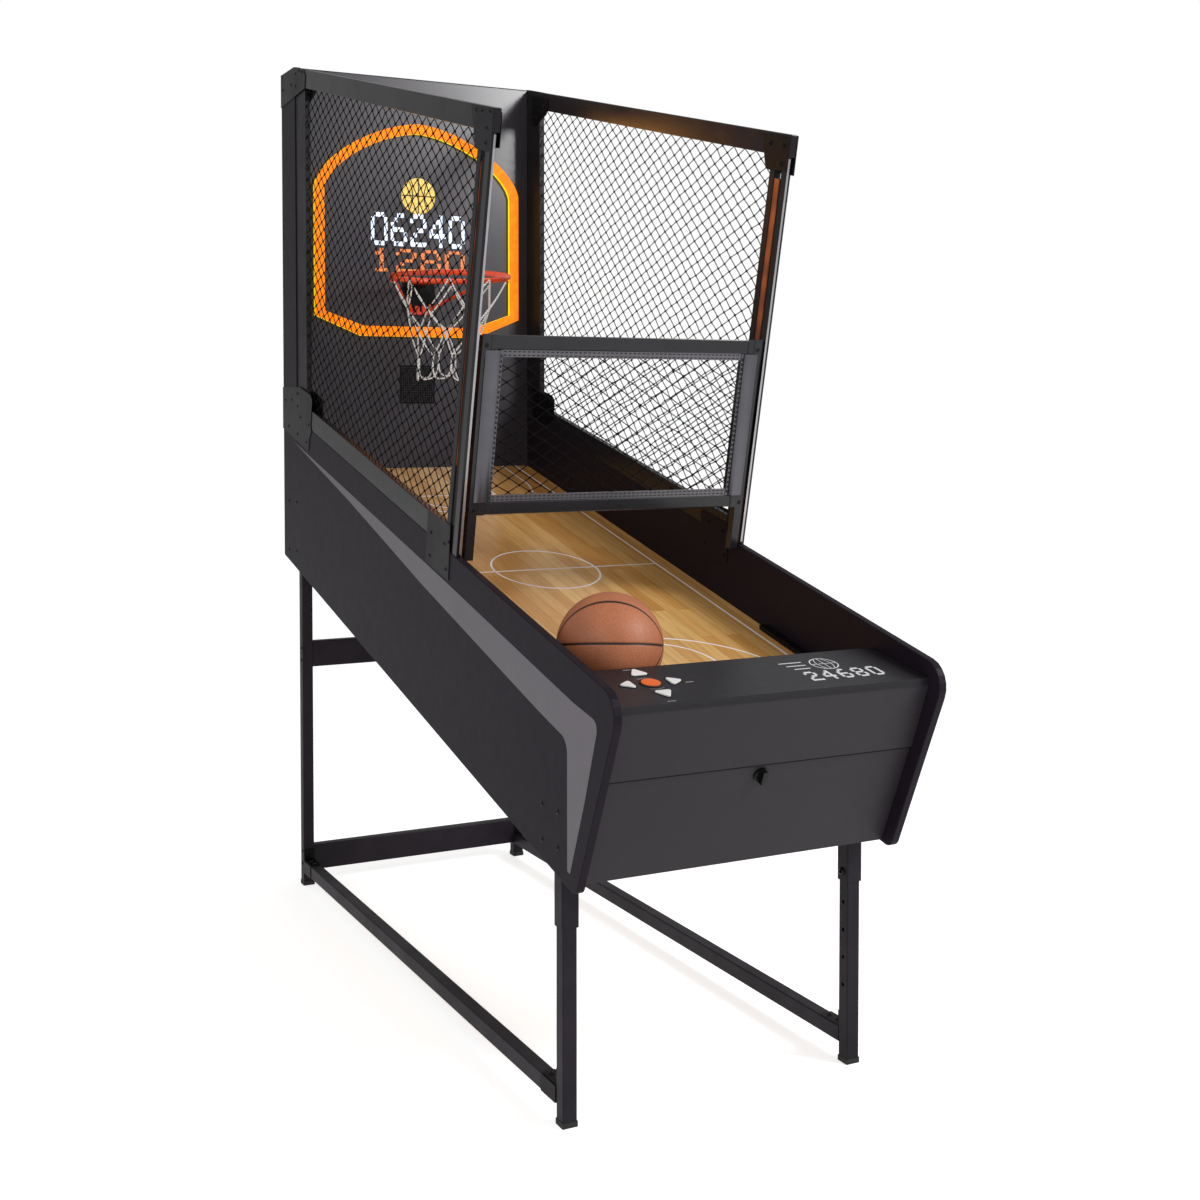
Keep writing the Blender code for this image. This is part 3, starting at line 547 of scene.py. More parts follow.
def tubes(path: Array, radius: float, sides: int = 6,
          reference: tuple[float, float, float] = (0.0, 0.0, 1.0), closed: bool = False) -> Mesh:
    """Round tubes along paths: a circle carried along each.

    Args:
        path: Points as rows, for one path or many.
        radius: Radius of the tube.
        sides: Sides of its circle.
        reference: Direction that the circle's first axis is kept square to.
        closed: Whether the path's ends meet.

    Returns:
        Vertices and faces.
    """
    across, up = frames_along(path, reference, closed)
    return carry(circle(radius, sides), path, across, up, closed)


def prism(outline: Array, axis: Axis, low: float, high: float) -> Mesh:
    """Outline carried straight along a world axis.

    Args:
        outline: Points in the two other axes, in their order.
        axis: Axis to carry along.
        low: Where it starts.
        high: Where it ends.

    Returns:
        Vertices and faces.
    """
    others = [i for i in range(3) if i != axis.value]
    size = len(outline)
    verts = np.zeros((2, size, 3))
    verts[:, :, others] = outline[None]
    verts[0, :, axis.value] = low
    verts[1, :, axis.value] = high
    index = np.arange(size)
    nxt = np.roll(index, -1)
    sides = np.stack([index, nxt, nxt + size, index + size], axis=1).tolist()
    return verts.reshape(-1, 3), sides + [index[::-1].tolist(), (index + size).tolist()]


def band(outer: Array, inner: Array, axis: Axis, low: float, high: float) -> Mesh:
    """Closed band between two outlines, carried straight along a world axis.

    Args:
        outer: Outer outline, in the two other axes.
        inner: Inner outline with as many points.
        axis: Axis to carry along.
        low: Where it starts.
        high: Where it ends.

    Returns:
        Vertices and faces.
    """
    others = [i for i in range(3) if i != axis.value]
    size = len(outer)
    verts = np.zeros((4, size, 3))
    verts[0, :, others], verts[1, :, others] = outer.T, outer.T
    verts[2, :, others], verts[3, :, others] = inner.T, inner.T
    verts[[0, 3], :, axis.value] = low
    verts[[1, 2], :, axis.value] = high
    index = np.arange(4 * size).reshape(4, size)
    after = np.roll(index, -1, axis=0)
    quads = np.stack([index, np.roll(index, -1, axis=1), np.roll(after, -1, axis=1), after], axis=-1)
    return verts.reshape(-1, 3), quads.reshape(-1, 4).tolist()


def turned(profile: Array, segments: int = 16) -> Mesh:
    """Profile turned about Z, with flat faces closing both ends.

    Args:
        profile: Rows of radius and height.
        segments: Steps of the turn.

    Returns:
        Vertices and faces.
    """
    angle = np.arange(segments) * TAU / segments
    ring = np.stack([profile[:, :1] * np.cos(angle), profile[:, :1] * np.sin(angle),
                     np.broadcast_to(profile[:, 1:], (len(profile), segments))], axis=-1)
    index = np.arange(len(profile) * segments).reshape(len(profile), segments)
    low, high = index[:-1], index[1:]
    quads = np.stack([low, np.roll(low, -1, axis=1), np.roll(high, -1, axis=1), high], axis=-1)
    faces = quads.reshape(-1, 4).tolist()
    return ring.reshape(-1, 3), faces + [index[0, ::-1].tolist(), index[-1].tolist()]


def repeated(shape: Mesh, places: Array, basis: Array) -> Mesh:
    """Copies of a shape: each vertex times the basis rows, plus each place.

    Args:
        shape: Vertices and faces of one.
        places: m rows of positions.
        basis: Rows are the world directions of the shape's X, Y and Z; one, or one for each place.

    Returns:
        All the copies as one mesh.
    """
    verts, faces = shape
    basis = np.broadcast_to(basis, (len(places), 3, 3))
    moved = np.einsum("vi,mij->mvj", verts, basis) + places[:, None]
    count = len(verts)
    copies = [[v + count * k for v in face] for k in range(len(places)) for face in faces]
    return moved.reshape(-1, 3), copies


def merged(*parts: Mesh) -> Mesh:
    """Several meshes as one.

    Args:
        parts: Vertices and faces of each.

    Returns:
        Vertices and faces.
    """
    verts, faces, start = [], [], 0
    for part, polygons in parts:
        verts.append(part)
        faces += [[v + start for v in face] for face in polygons]
        start += len(part)
    return np.concatenate(verts), faces


DIRECTIONS = {
    "+X": np.array([[0, 1, 0], [0, 0, 1], [1, 0, 0]], float),
    "-X": np.array([[0, -1, 0], [0, 0, 1], [-1, 0, 0]], float),
    "-Y": np.array([[1, 0, 0], [0, 0, 1], [0, -1, 0]], float),
    "+Y": np.array([[-1, 0, 0], [0, 0, 1], [0, 1, 0]], float),
    "+Z": np.eye(3),
}


def piece(name: str, shape: Mesh, material: Material, body: Body,
          stands_for: tuple[str, ...] = (), sharp: float = 35.0,
          uv: Array | None = None) -> bpy.types.Object:
    """Make a finished piece that rides on a body.

    Args:
        name: Object name.
        shape: Vertices and faces in world metres.
        material: Finish.
        body: What it rides on.
        stands_for: CAD nodes that it replaces.
        sharp: Angle in degrees past which an edge is sharp.
        uv: One coordinate pair for each vertex.

    Returns:
        The object.
    """
    mesh = bpy.data.meshes.new(name)
    mesh.from_pydata(shape[0].tolist(), [], shape[1])
    mesh.validate()
    work = bmesh.new()
    work.from_mesh(mesh)
    bmesh.ops.recalc_face_normals(work, faces=work.faces[:])
    work.to_mesh(mesh)
    work.free()
    if uv is not None:
        layer = mesh.uv_layers.new(name="length")
        corner = np.zeros(len(mesh.loops), np.int32)
        mesh.loops.foreach_get("vertex_index", corner)
        layer.data.foreach_set("uv", uv[corner].astype(np.float32).ravel())
    mesh.polygons.foreach_set("use_smooth", np.ones(len(mesh.polygons), bool))
    mesh.set_sharp_from_angle(angle=math.radians(sharp))
    mesh.materials.append(material)
    obj = bpy.data.objects.new(name, mesh)
    bpy.context.scene.collection.objects.link(obj)
    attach(obj, body.value)
    if stands_for:
        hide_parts(*stands_for)
    LOG.info("%s: %d faces on %s", name, len(mesh.polygons), body.value)
    return obj


def dress(material: Material, *nodes: str) -> None:
    """Give CAD nodes a finish.

    Args:
        material: Finish.
        nodes: Names of the nodes.
    """
    for name in nodes:
        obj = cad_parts[name]
        if not obj.material_slots:
            obj.data.materials.append(material)
        for item in obj.material_slots:
            item.material = material
        LOG.info("%s dressed in %s", name, material.name)


def bolt_head(radius: float, height: float) -> Mesh:
    """Low domed head with a recess: profile of a flat rim, a dome and a sunk centre.

    Args:
        radius: Radius of the head.
        height: Height of its dome.

    Returns:
        Vertices and faces, standing on Z = 0.
    """
    profile = np.array([[radius, 0.0], [radius, height * 0.25], [radius * 0.85, height * 0.75],
                        [radius * 0.5, height], [radius * 0.48, height * 0.35]])
    return turned(profile, 12)


def bolts(name: str, spots: list[tuple[float, float, float]], facing: str, radius: float,
          material: Material, body: Body, height: float = 0.0016) -> None:
    """A set of bolt heads, all facing one way.

    Args:
        name: Object name.
        spots: Places of the heads.
        facing: Key of DIRECTIONS.
        radius: Radius of each head.
        material: Finish.
        body: What they ride on.
        height: Height of each head.
    """
    shape = repeated(bolt_head(radius, height), np.asarray(spots, float), DIRECTIONS[facing])
    piece(name, shape, material, body)


def both(points: list[tuple[float, float]], x: float, side: int) -> list[tuple[float, float, float]]:
    """Places in Y and Z put on one side of the machine."""
    return [(side * x, y, z) for y, z in points]


def outward(side: int) -> str:
    """Name of the direction out of one side of the machine."""
    return "+X" if side > 0 else "-X"


def side_sheet(outline: Array, side: int, near: float, far: float) -> Mesh:
    """Outline in Y and Z made solid between two distances from the machine's middle plane.

    Args:
        outline: Points in order.
        side: -1 for left, 1 for right.
        near: Distance of the inner face.
        far: Distance of the outer face.

    Returns:
        Vertices and faces.
    """
    low, high = sorted((side * near, side * far))
    return prism(outline, Axis.X, low, high)


SIDES = (("left", -1), ("right", 1))


# ------------------------------------------------------------------- finishes
def made(finish: Finish) -> Material:
    """Palette field whose material is made when the palette is."""
    return field(default_factory=finish.make)


@dataclass
class Palette:
    """Every material of the machine, made once."""

    # Melamine-faced boards: matt and faintly grained, so they look soft beside the steel. Sides and front are
    # one charcoal laminate: the sides' darker base colour is painted shade and the front's paler one is
    # painted light.
    board: Material = made(Laminate("panel_laminate_charcoal_painted_shade", "201A23", 0.46, specular=0.09))
    front: Material = made(Laminate("front_laminate_charcoal_painted_light", "322E32", 0.46, specular=0.2))
    deck: Material = made(Laminate("deck_laminate_satin", "242226", 0.36, specular=0.3))
    stripe: Material = made(Laminate("stripe_vinyl_grey", "666168", 0.44, grain_mm=0.7, relief=0.06))
    # Powder-coated steel: orange peel breaks up its highlights; the catcher is glossier.
    steel: Material = made(PowderCoat("legs_powder_coat", "201B23", 0.42, specular=0.16))
    rail: Material = made(PowderCoat("cage_powder_coat", "171419", 0.25, specular=0.26))
    rail_gloss: Material = made(PowderCoat("catcher_gloss_coat", "1F1E22", 0.26, specular=0.35, coat=0.15))
    plate: Material = made(PowderCoat("plate_powder_coat", "1E1C20", 0.40, specular=0.14))
    black: Material = made(PowderCoat("fittings_black_coat", "09090A", 0.40, specular=0.12))
    # Moulded rubber feet, and black-oxide bolts with a low metallic shine.
    rubber: Material = made(Moulded("foot_moulded_rubber", "121113", 0.62, spark_mm=1.0, relief=0.2))
    bolt: Material = made(PowderCoat("bolt_black_oxide", "09090A", 0.33, 0.4))
    # Lacquered sports floor with enamel lines: strips of varied tone under a clear shine.
    wood: Material = made(
        CourtWood("court_lacquered_strips", "E0B170", 0.27, coat=0.35, coat_roughness=0.16))
    paint: Material = made(Moulded("court_line_paint", "F4F2F4", 0.42, spark_mm=0.9))
    # Polished acrylic backboard that picks up the lit parts.
    gloss: Material = made(
        Moulded("backboard_polished_acrylic", "3E3A41", 0.28, coat=0.12, coat_roughness=0.12,
                spark_mm=4.0, relief=0.01))
    # Diffusers lit from behind, a little uneven over each diode.
    lit_orange: Material = made(
        Lit("outline_lit_orange", "EA7600", 0.5, specular=0.2, strength=0.85, edge="F08600"))
    lit_yellow: Material = made(Lit("outline_lit_yellow", "F2D800", 0.4, strength=1.0, edge="F7E22A"))
    lit_white: Material = made(
        Lit("digits_lit_white", "CFDDF4", 0.4, strength=0.85, edge="F4F8FF", bead_mm=7.0))
    lit_rust: Material = made(
        Lit("digits_lit_rust", "C4622A", 0.4, strength=0.8, edge="E0904E", bead_mm=7.0))
    lit_amber: Material = made(
        Lit("emblem_lit_amber", "D2AF4E", 0.4, strength=0.7, edge="EBD37A", bead_mm=7.0))
    lit_strip: Material = made(
        Lit("strip_lit_orange", "5E2C14", 0.3, strength=0.35, edge="9A4C20", bead_mm=60.0))
    # Red enamel rim, twisted white rope, and dull black net cord.
    rim: Material = made(PowderCoat("rim_red_enamel", "F24A20", 0.26, coat=0.4))
    rope: Material = made(Twine("net_white_rope", "FFFFFF", 0.75, lay_mm=9.0))
    cord: Material = made(
        Moulded("cage_net_black_cord", "070708", 0.85, specular=0.15, spark_mm=0.8, relief=0.3))
    # Drawn aluminium for the inlet pins, also laid as a bright strip that paints the highlight on each
    # upright's front edge; and glossy uprights.
    silver_and_highlight: Material = made(Brushed("drawn_aluminium_and_painted_highlight", "AFAFB3", 0.30, 0.85, along=(1.0, 0.02, 0.02)))
    upright: Material = made(PowderCoat("upright_gloss_coat", "0F0E10", 0.20, specular=0.3, coat=0.12))
    # Sleeves with a metallic satin coat, vinyl net edging and the thread sewn through it.
    sleeve: Material = made(
        Moulded("catcher_sleeve_satin", "5C5B61", 0.20, 0.85, coat=0.2, spark_mm=4.0, relief=0.03))
    tape: Material = made(Moulded("net_edge_vinyl", "57555B", 0.32, coat=0.4, spark_mm=2.0, relief=0.15))
    thread: Material = made(Moulded("stitch_thread_dark", "1B1A1C", 0.8))
    # Moulded plastic buttons, screen-printed marks and black inner plastic.
    white: Material = made(Moulded("button_white_plastic", "F4F3F1", 0.25, coat=0.3))
    orange: Material = made(Moulded("button_orange_plastic", "F06A1E", 0.28, coat=0.3))
    print_grey: Material = made(Moulded("deck_print_grey", "8E8C90", 0.5))
    print_white: Material = made(Moulded("deck_print_white", "E4E3E6", 0.45))
    dark: Material = made(Moulded("inner_moulded_black", "101012", 0.55))
    # Grey-coated steel box, and the ball's pebbled cover.
    box: Material = made(PowderCoat("control_box_grey_coat", "55575A", 0.45))
    ball: Material = made(BallCover("ball_pebbled_cover", "C47A55", 0.50, specular=0.4))


# ------------------------------------------------------------- sub-assemblies
@dataclass
class BaseFrame:
    """Legs, feet, beams, and the brackets and bolts that join them."""

    palette: Palette
    leg: float = 0.032
    leg_x: float = 0.342
    rear_y: float = 0.987
    front_y: float = -0.805
    beam_low: float = 0.0405
    beam_top: float = 0.0758
    bracket_at: float = 0.0763
    bracket_thick: float = 0.002
    bracket_reach: float = 0.070
    bracket_rise: float = 0.034
    bolt_heights: tuple[float, ...] = (0.064, 0.100, 0.675, 0.711)

    def build(self) -> None:
        """Dress the tubes, then add brackets and bolts."""
        ends = [f"leg_{e}_{s}" for e in ("rear", "front") for s in ("left", "right")]
        dress(self.palette.steel, *ends, "crossbeam_lower", "crossbeam_upper", "side_beam_left",
              "side_beam_right")
        dress(self.palette.rubber, *[name.replace("leg", "foot") for name in ends])
        for word, side in SIDES:
            self.brackets(word, side)
        self.beam_bolts()

    def brackets(self, word: str, side: int) -> None:
        """Angle plates over both ends of a side beam, each an L carried across the beam's width.

        Args:
            word: Side's name.
            side: -1 for left, 1 for right.
        """
        thick, reach, rise = self.bracket_thick, self.bracket_reach, self.bracket_rise
        low = side * self.leg_x - self.leg / 2 + 0.001
        high = side * self.leg_x + self.leg / 2 - 0.001
        top = self.bracket_at
        face = self.leg_x + self.leg / 2
        parts, heads = [], []
        for leg_y, way in ((self.front_y + self.leg / 2 + 0.0003, 1),
                           (self.rear_y - self.leg / 2 - 0.0003, -1)):
            outline = np.array([[leg_y, top], [leg_y + way * reach, top],
                                [leg_y + way * reach, top + thick],
                                [leg_y + way * thick, top + thick],
                                [leg_y + way * thick, top + rise], [leg_y, top + rise]])
            outline = outline if way > 0 else outline[::-1]
            near, far = sorted((leg_y, leg_y + way * reach))
            cheek = rounded_outline([(near, self.beam_low), (far, self.beam_low), (far, self.beam_top),
                                     (near, self.beam_top)], 0.002, 3)
            parts.append(side_sheet(cheek, side, face + 0.0002, face + 0.0018))
            parts.append(prism(outline, Axis.X, low, high))
            heads += [(side * self.leg_x, leg_y + way * 0.025, top + thick),
                      (side * self.leg_x, leg_y + way * 0.055, top + thick)]
        piece(f"beam_bracket_{word}", merged(*parts), self.palette.black, Body.BASE)
        bolts(f"beam_bracket_bolts_{word}", heads, "+Z", 0.0055, self.palette.bolt, Body.BASE,
              0.003)

    def beam_bolts(self) -> None:
        """Bolts through the rear legs' outer faces into the crossbeams."""
        spots = [(self.rear_y, z) for z in self.bolt_heights]
        for word, side in SIDES:
            bolts(f"crossbeam_bolts_{word}", both(spots, self.leg_x + self.leg / 2, side), outward(side),
                  0.005, self.palette.bolt, Body.BASE, 0.0022)


@dataclass
class Trough:
    """Side panels with their stripes and bolts, and the court with its printed lines."""

    palette: Palette
    slope: float = 0.2475
    rear: tuple[float, float] = (0.9396, 1.2448)
    wall_y: float = -0.855
    paint: float = 0.0052
    paint_high: float = 0.0003
    sideline_x: float = 0.3185
    middle_y: float = 0.027
    circle: float = 0.1385
    arc_wide: float = 0.275
    arc_narrow: float = 0.128
    height_bolt: tuple[float, float] = (-0.805, 0.422)
    sleeve_in: float = 0.323
    stripe_thick: float = 0.0003

    def build(self) -> None:
        """Dress the boards, then add stripes, bolts and printed lines."""
        dress(self.palette.board, "side_panel_left", "side_panel_right")
        dress(self.palette.front, "ball_stop_wall")
        dress(self.palette.black, "side_guide_left", "side_guide_right")
        dress(self.palette.wood, "court_board")
        dress(self.palette.steel, "leg_sleeve_left", "leg_sleeve_right")
        for word, side in SIDES:
            self.stripe(word, side)
            spots = [(1.031, 1.149), (0.952, 1.149), (1.031, 1.003), (0.952, 1.004),
                     (-0.770, 0.642), (-0.842, 0.643), (-0.770, 0.571), (-0.842, 0.572)]
            bolts(f"panel_bolts_{word}", both(spots, PANEL_OUT, side), outward(side), 0.0062,
                  self.palette.bolt, Body.CABINET)
            bolts(f"height_bolt_{word}", both([self.height_bolt], self.sleeve_in, side), outward(-side),
                  0.009, self.palette.bolt, Body.CABINET, 0.006)
        self.lines()

    def stripe(self, word: str, side: int) -> None:
        """Grey vinyl band on the outer face: one closed outline, as thick as the vinyl.

        Args:
            word: Side's name.
            side: -1 for left, 1 for right.
        """
        corners = [(0.9686, 1.3265), (-0.236, 1.037), (-0.911, 0.869), (-1.0200, 0.848), (-0.963, 0.689),
                   (-0.8990, 0.5350), (-0.8870, 0.5380), (-0.8870, 0.7915), (-0.7605, 0.824),
                   (-0.080, 1.017), (0.059, 1.060), (0.450, 1.179)]
        radii = [0.0001, 0.02, 0.02, 0.020, 0.02, 0.003, 0.003, 0.035, 0.02, 0.10, 0.10, 0.02]
        outline = rounded_outline(corners, radii, 6)
        band_of_vinyl = side_sheet(outline, side, PANEL_OUT, PANEL_OUT + self.stripe_thick)
        piece(f"side_stripe_{word}", band_of_vinyl, self.palette.stripe, Body.CABINET,
              sharp=60.0)

    def on_court(self, flat: Array, lift: float) -> Array:
        """Points of the court plane: height is the rear edge's, less slope times distance from it.

        Args:
            flat: X and Y of each point.
            lift: Height above the plane.

        Returns:
            World points.
        """
        z = self.rear[1] + self.slope * (flat[..., 1] - self.rear[0]) + lift
        return np.concatenate([flat, z[..., None]], axis=-1)

    def painted(self, flat: Array, closed: bool = False) -> Mesh:
        """A painted line: a flat profile as wide as the brush, carried along a path on the court.

        Args:
            flat: X and Y of the path's points.
            closed: Whether its ends meet.

        Returns:
            Vertices and faces.
        """
        path = self.on_court(flat, 0.0)
        up = np.array([0.0, -self.slope, 1.0]) / math.hypot(self.slope, 1.0)
        across, _ = frames_along(path, tuple(up), closed)
        half = self.paint / 2
        profile = np.array([[-half, 0.0], [half, 0.0], [half, self.paint_high], [-half, self.paint_high]])
        return carry(profile, path, across, np.broadcast_to(up, path.shape), closed)

    def lines(self) -> None:
        """Sidelines, midline, centre circle and both sets of arcs."""
        low, high = self.wall_y + 0.001, self.rear[0] - 0.001
        parts = []
        for side in (-1, 1):
            y = np.linspace(low, high, 40)
            parts.append(self.painted(np.stack([np.full_like(y, side * self.sideline_x), y], axis=1)))
        x = np.linspace(-0.314, 0.314, 20)
        parts.append(self.painted(np.stack([x, np.full_like(x, self.middle_y - 0.0005)], axis=1)))
        angle = np.arange(72) * TAU / 72
        ring = self.circle * np.stack([np.cos(angle), np.sin(angle)], axis=1)
        parts.append(self.painted(ring + np.array([0.0, self.middle_y]), True))
        half_turn = np.linspace(0, math.pi, 49)
        for end_y, outer_y, inner_y, way in ((low, -0.718, -0.600, 1), (high, 0.772, 0.654, -1)):
            for radius, middle in ((self.arc_wide, outer_y), (self.arc_narrow, inner_y)):
                arc = np.stack([radius * np.cos(half_turn),
                                middle + way * radius * np.sin(half_turn)], axis=1)
                ends = np.array([[radius, end_y]]), np.array([[-radius, end_y]])
                parts.append(self.painted(np.concatenate([ends[0], arc, ends[1]])))
            bar = np.linspace(-self.arc_narrow, self.arc_narrow, 12)
            parts.append(self.painted(np.stack([bar, np.full_like(bar, inner_y)], axis=1)))
        piece("court_lines", merged(*parts), self.palette.paint, Body.CABINET)


class Digit(Enum):
    """Five by seven patterns of the numerals used on the display, top row first."""

    ZERO = "01110 10001 10001 10001 10001 10001 01110"
    ONE = "00100 01100 00100 00100 00100 00100 01110"
    TWO = "01110 10001 00001 00110 01000 10000 11111"
    FOUR = "00010 00110 01010 10010 11111 00010 00010"
    SIX = "00110 01000 10000 11110 10001 10001 01110"
    EIGHT = "01110 10001 10001 01110 10001 10001 01110"


def lit_cells(digits: tuple[Digit, ...], gap: int) -> tuple[Array, Array]:
    """Rows and columns of the cells that a run of digits fills.

    Args:
        digits: Digits, left to right.
        gap: Empty columns after each.

    Returns:
        Row numbers and column numbers.
    """
    spacer = np.zeros((7, gap), int)
    grids = [np.array([[int(c) for c in row] for row in d.value.split()]) for d in digits]
    return np.nonzero(np.concatenate([np.concatenate([g, spacer], axis=1) for g in grids], axis=1))


@dataclass
class Deck:
    """Control deck: buttons, their surrounds and the printed marks."""

    palette: Palette
    rear: tuple[float, float] = (-0.855, 0.9150)
    front: tuple[float, float] = (-1.0475, 0.8785)
    centre: tuple[float, float] = (-0.2285, -0.9445)
    mark: float = 0.030
    mark_at: tuple[float, float] = (0.190, -0.922)
    cell: tuple[float, float] = (0.0054, 0.0070)
    arcs: float = 0.0300
    ink: float = 0.0002
    fine: float = 0.0016

    @property
    def rise(self) -> float:
        """Height gained per metre towards the back."""
        return (self.rear[1] - self.front[1]) / (self.rear[0] - self.front[0])

    def lay(self, shape: Mesh, at: tuple[float, float]) -> Mesh:
        """Put a shape drawn flat around zero onto the deck.

        Args:
            shape: Vertices and faces.
            at: Place in X and Y.

        Returns:
            The shape, tilted and moved.
        """
        tilt = math.atan(self.rise)
        basis = np.array([[1, 0, 0], [0, math.cos(tilt), math.sin(tilt)],
                          [0, -math.sin(tilt), math.cos(tilt)]])
        place = np.array([[at[0], at[1], self.front[1] + self.rise * (at[1] - self.front[0])]])
        return repeated(shape, place, basis)

    def build(self) -> None:
        """Dress deck and buttons, then add surrounds and print."""
        dress(self.palette.deck, "control_deck")
        dress(self.palette.white, "button_back", "button_forward", "button_left", "button_right")
        dress(self.palette.orange, "button_round")
        angle = np.arange(40) * TAU / 40
        section = np.array([[0.0203, 0.0], [0.0236, 0.0], [0.0232, 0.0016], [0.0218, 0.0024],
                            [0.0205, 0.0018]])
        outward = np.stack([np.cos(angle), np.sin(angle), np.zeros(40)], axis=1)
        ring = carry(section, np.zeros((40, 3)), outward, np.array([0.0, 0.0, 1.0]), True)
        piece("round_button_surround", self.lay(ring, self.centre), self.palette.dark, Body.CABINET)
        self.surrounds()
        self.print()
        nose = np.array([(-1.0496, 0.8640), (-1.0488, 0.8640), (-1.0474, 0.8706), (-1.0476, 0.8790),
                         (-1.0484, 0.8790), (-1.0484, 0.8706)])
        piece("deck_nose_trim", prism(nose, Axis.X, -0.3612, 0.3612), self.palette.deck, Body.CABINET)

    def surrounds(self) -> None:
        """Thin dark edging round each arrow: a band between two rounded triangles."""
        parts = []
        for way, near, far in (((0, 1), 0.044, 0.080), ((0, -1), 0.044, 0.080), ((-1, 0), 0.0395, 0.070),
                               ((1, 0), 0.0395, 0.070)):
            along = np.array(way, float)
            across = np.array([-along[1], along[0]])
            tips = np.array([along * far, along * near + across * 0.0205, along * near - across * 0.0205])
            middle = tips.mean(axis=0)
            outer = rounded_outline((middle + (tips - middle) * 1.21).tolist(), 0.006, 5)
            inner = rounded_outline((middle + (tips - middle) * 1.06).tolist(), 0.0048, 5)
            parts.append(self.lay(band(outer, inner, Axis.Z, 0.0, 0.0011), self.centre))
        piece("arrow_button_surrounds", merged(*parts), self.palette.dark, Body.CABINET)

    def print(self) -> None:
        """Short dashes beside the arrows, arcs round the middle button, a ball mark and numerals."""
        dash = rectangle(0.009, 0.0017, 0.0012, 3)
        parts = [self.lay(prism(dash, Axis.Z, 0.0, self.ink), at)
                 for at in ((-0.2400, -0.8660), (-0.1480, -0.9540), (-0.2350, -1.0385))]
        for start in (0.25, 0.75):
            angle = np.linspace(start * TAU - 0.55, start * TAU + 0.55, 15)
            path = np.stack([self.arcs * np.cos(angle), self.arcs * np.sin(angle), np.zeros(15)], axis=1)
            parts.append(self.lay(self.stroke(path, 0.0014), self.centre))
        piece("deck_dashes", merged(*parts), self.palette.print_grey, Body.CABINET)
        angle = np.arange(48) * TAU / 48
        radius, at = self.mark, self.mark_at
        ring = np.stack([radius * np.cos(angle), radius * np.sin(angle), np.zeros(48)], axis=1)
        marks = [self.lay(self.stroke(ring, 0.0024, True), at)]
        t = np.linspace(-1, 1, 17)
        for bow in (-0.55, 0.0, 0.55):
            reach = radius * math.sqrt(1 - (bow * 0.9) ** 2)
            x = radius * bow * (1 - 0.45 * t ** 2)
            curve = np.stack([x, reach * t, np.zeros(17)], axis=1)
            marks.append(self.lay(self.stroke(curve, self.fine), at))
        level = np.stack([radius * t, np.zeros(17), np.zeros(17)], axis=1)
        marks.append(self.lay(self.stroke(level, self.fine), at))
        for row in range(3):
            y = 0.018 - 0.018 * row
            bar = np.stack([np.linspace(-0.100 + 0.008 * row, -0.045, 9), np.full(9, y), np.zeros(9)],
                           axis=1)
            marks.append(self.lay(self.stroke(bar, 0.0032), at))
        rows, cols = lit_cells((Digit.TWO, Digit.FOUR, Digit.SIX, Digit.EIGHT, Digit.ZERO), 2)
        cell = rectangle(0.0030, 0.0036, 0.0009, 2)
        spots = np.stack([-0.078 + cols * self.cell[0], -0.040 - rows * self.cell[1],
                          np.zeros(len(rows))], axis=1)
        marks.append(self.lay(repeated(prism(cell, Axis.Z, 0.0, self.ink), spots, np.eye(3)), at))
        piece("deck_ball_mark", merged(*marks), self.palette.print_white, Body.CABINET)

    def stroke(self, path: Array, width: float, closed: bool = False) -> Mesh:
        """Printed stroke, as high as the ink, along a flat path.

        Args:
            path: Points as rows.
            width: Width of the stroke.
            closed: Whether the path's ends meet.

        Returns:
            Vertices and faces.
        """
        across, _ = frames_along(path, (0.0, 0.0, 1.0), closed)
        half = width / 2
        profile = np.array([[-half, 0.0], [half, 0.0], [half, self.ink], [-half, self.ink]])
        return carry(profile, path, across, np.array([0.0, 0.0, 1.0]), closed)


@dataclass
class Front:
    """Upper front panel, service door, latch and control box."""

    palette: Palette
    lid_edge: float = 0.002
    lid_under: float = 0.0035

    def build(self) -> None:
        """Dress the boards and the latch, then add the control box's lower lid and its screws."""
        dress(self.palette.front, "front_panel_upper", "service_door")
        dress(self.palette.bolt, "door_latch")
        dress(self.palette.box, "control_box")
        low, high = (np.array(corner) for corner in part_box("control_box"))
        edge, under = self.lid_edge, low[2] - self.lid_under
        lid = rounded_outline([(low[0] - edge, low[1] - edge), (high[0] + edge, low[1] - edge),
                               (high[0] + edge, high[1] - edge), (low[0] - edge, high[1] - edge)], 0.006, 4)
        piece("control_box_lid", prism(lid, Axis.Z, under, low[2] - 0.0005), self.palette.box,
              Body.CABINET)
        spots = [(x, y, under) for x in (low[0] + 0.012, high[0] - 0.012)
                 for y in (low[1] + 0.012, high[1] - 0.014)]
        head = bolt_head(0.0035, 0.0012)
        basis = np.array([[1.0, 0.0, 0.0], [0.0, -1.0, 0.0], [0.0, 0.0, -1.0]])
        piece("control_box_screws", repeated(head, np.array(spots), basis), self.palette.bolt, Body.CABINET)


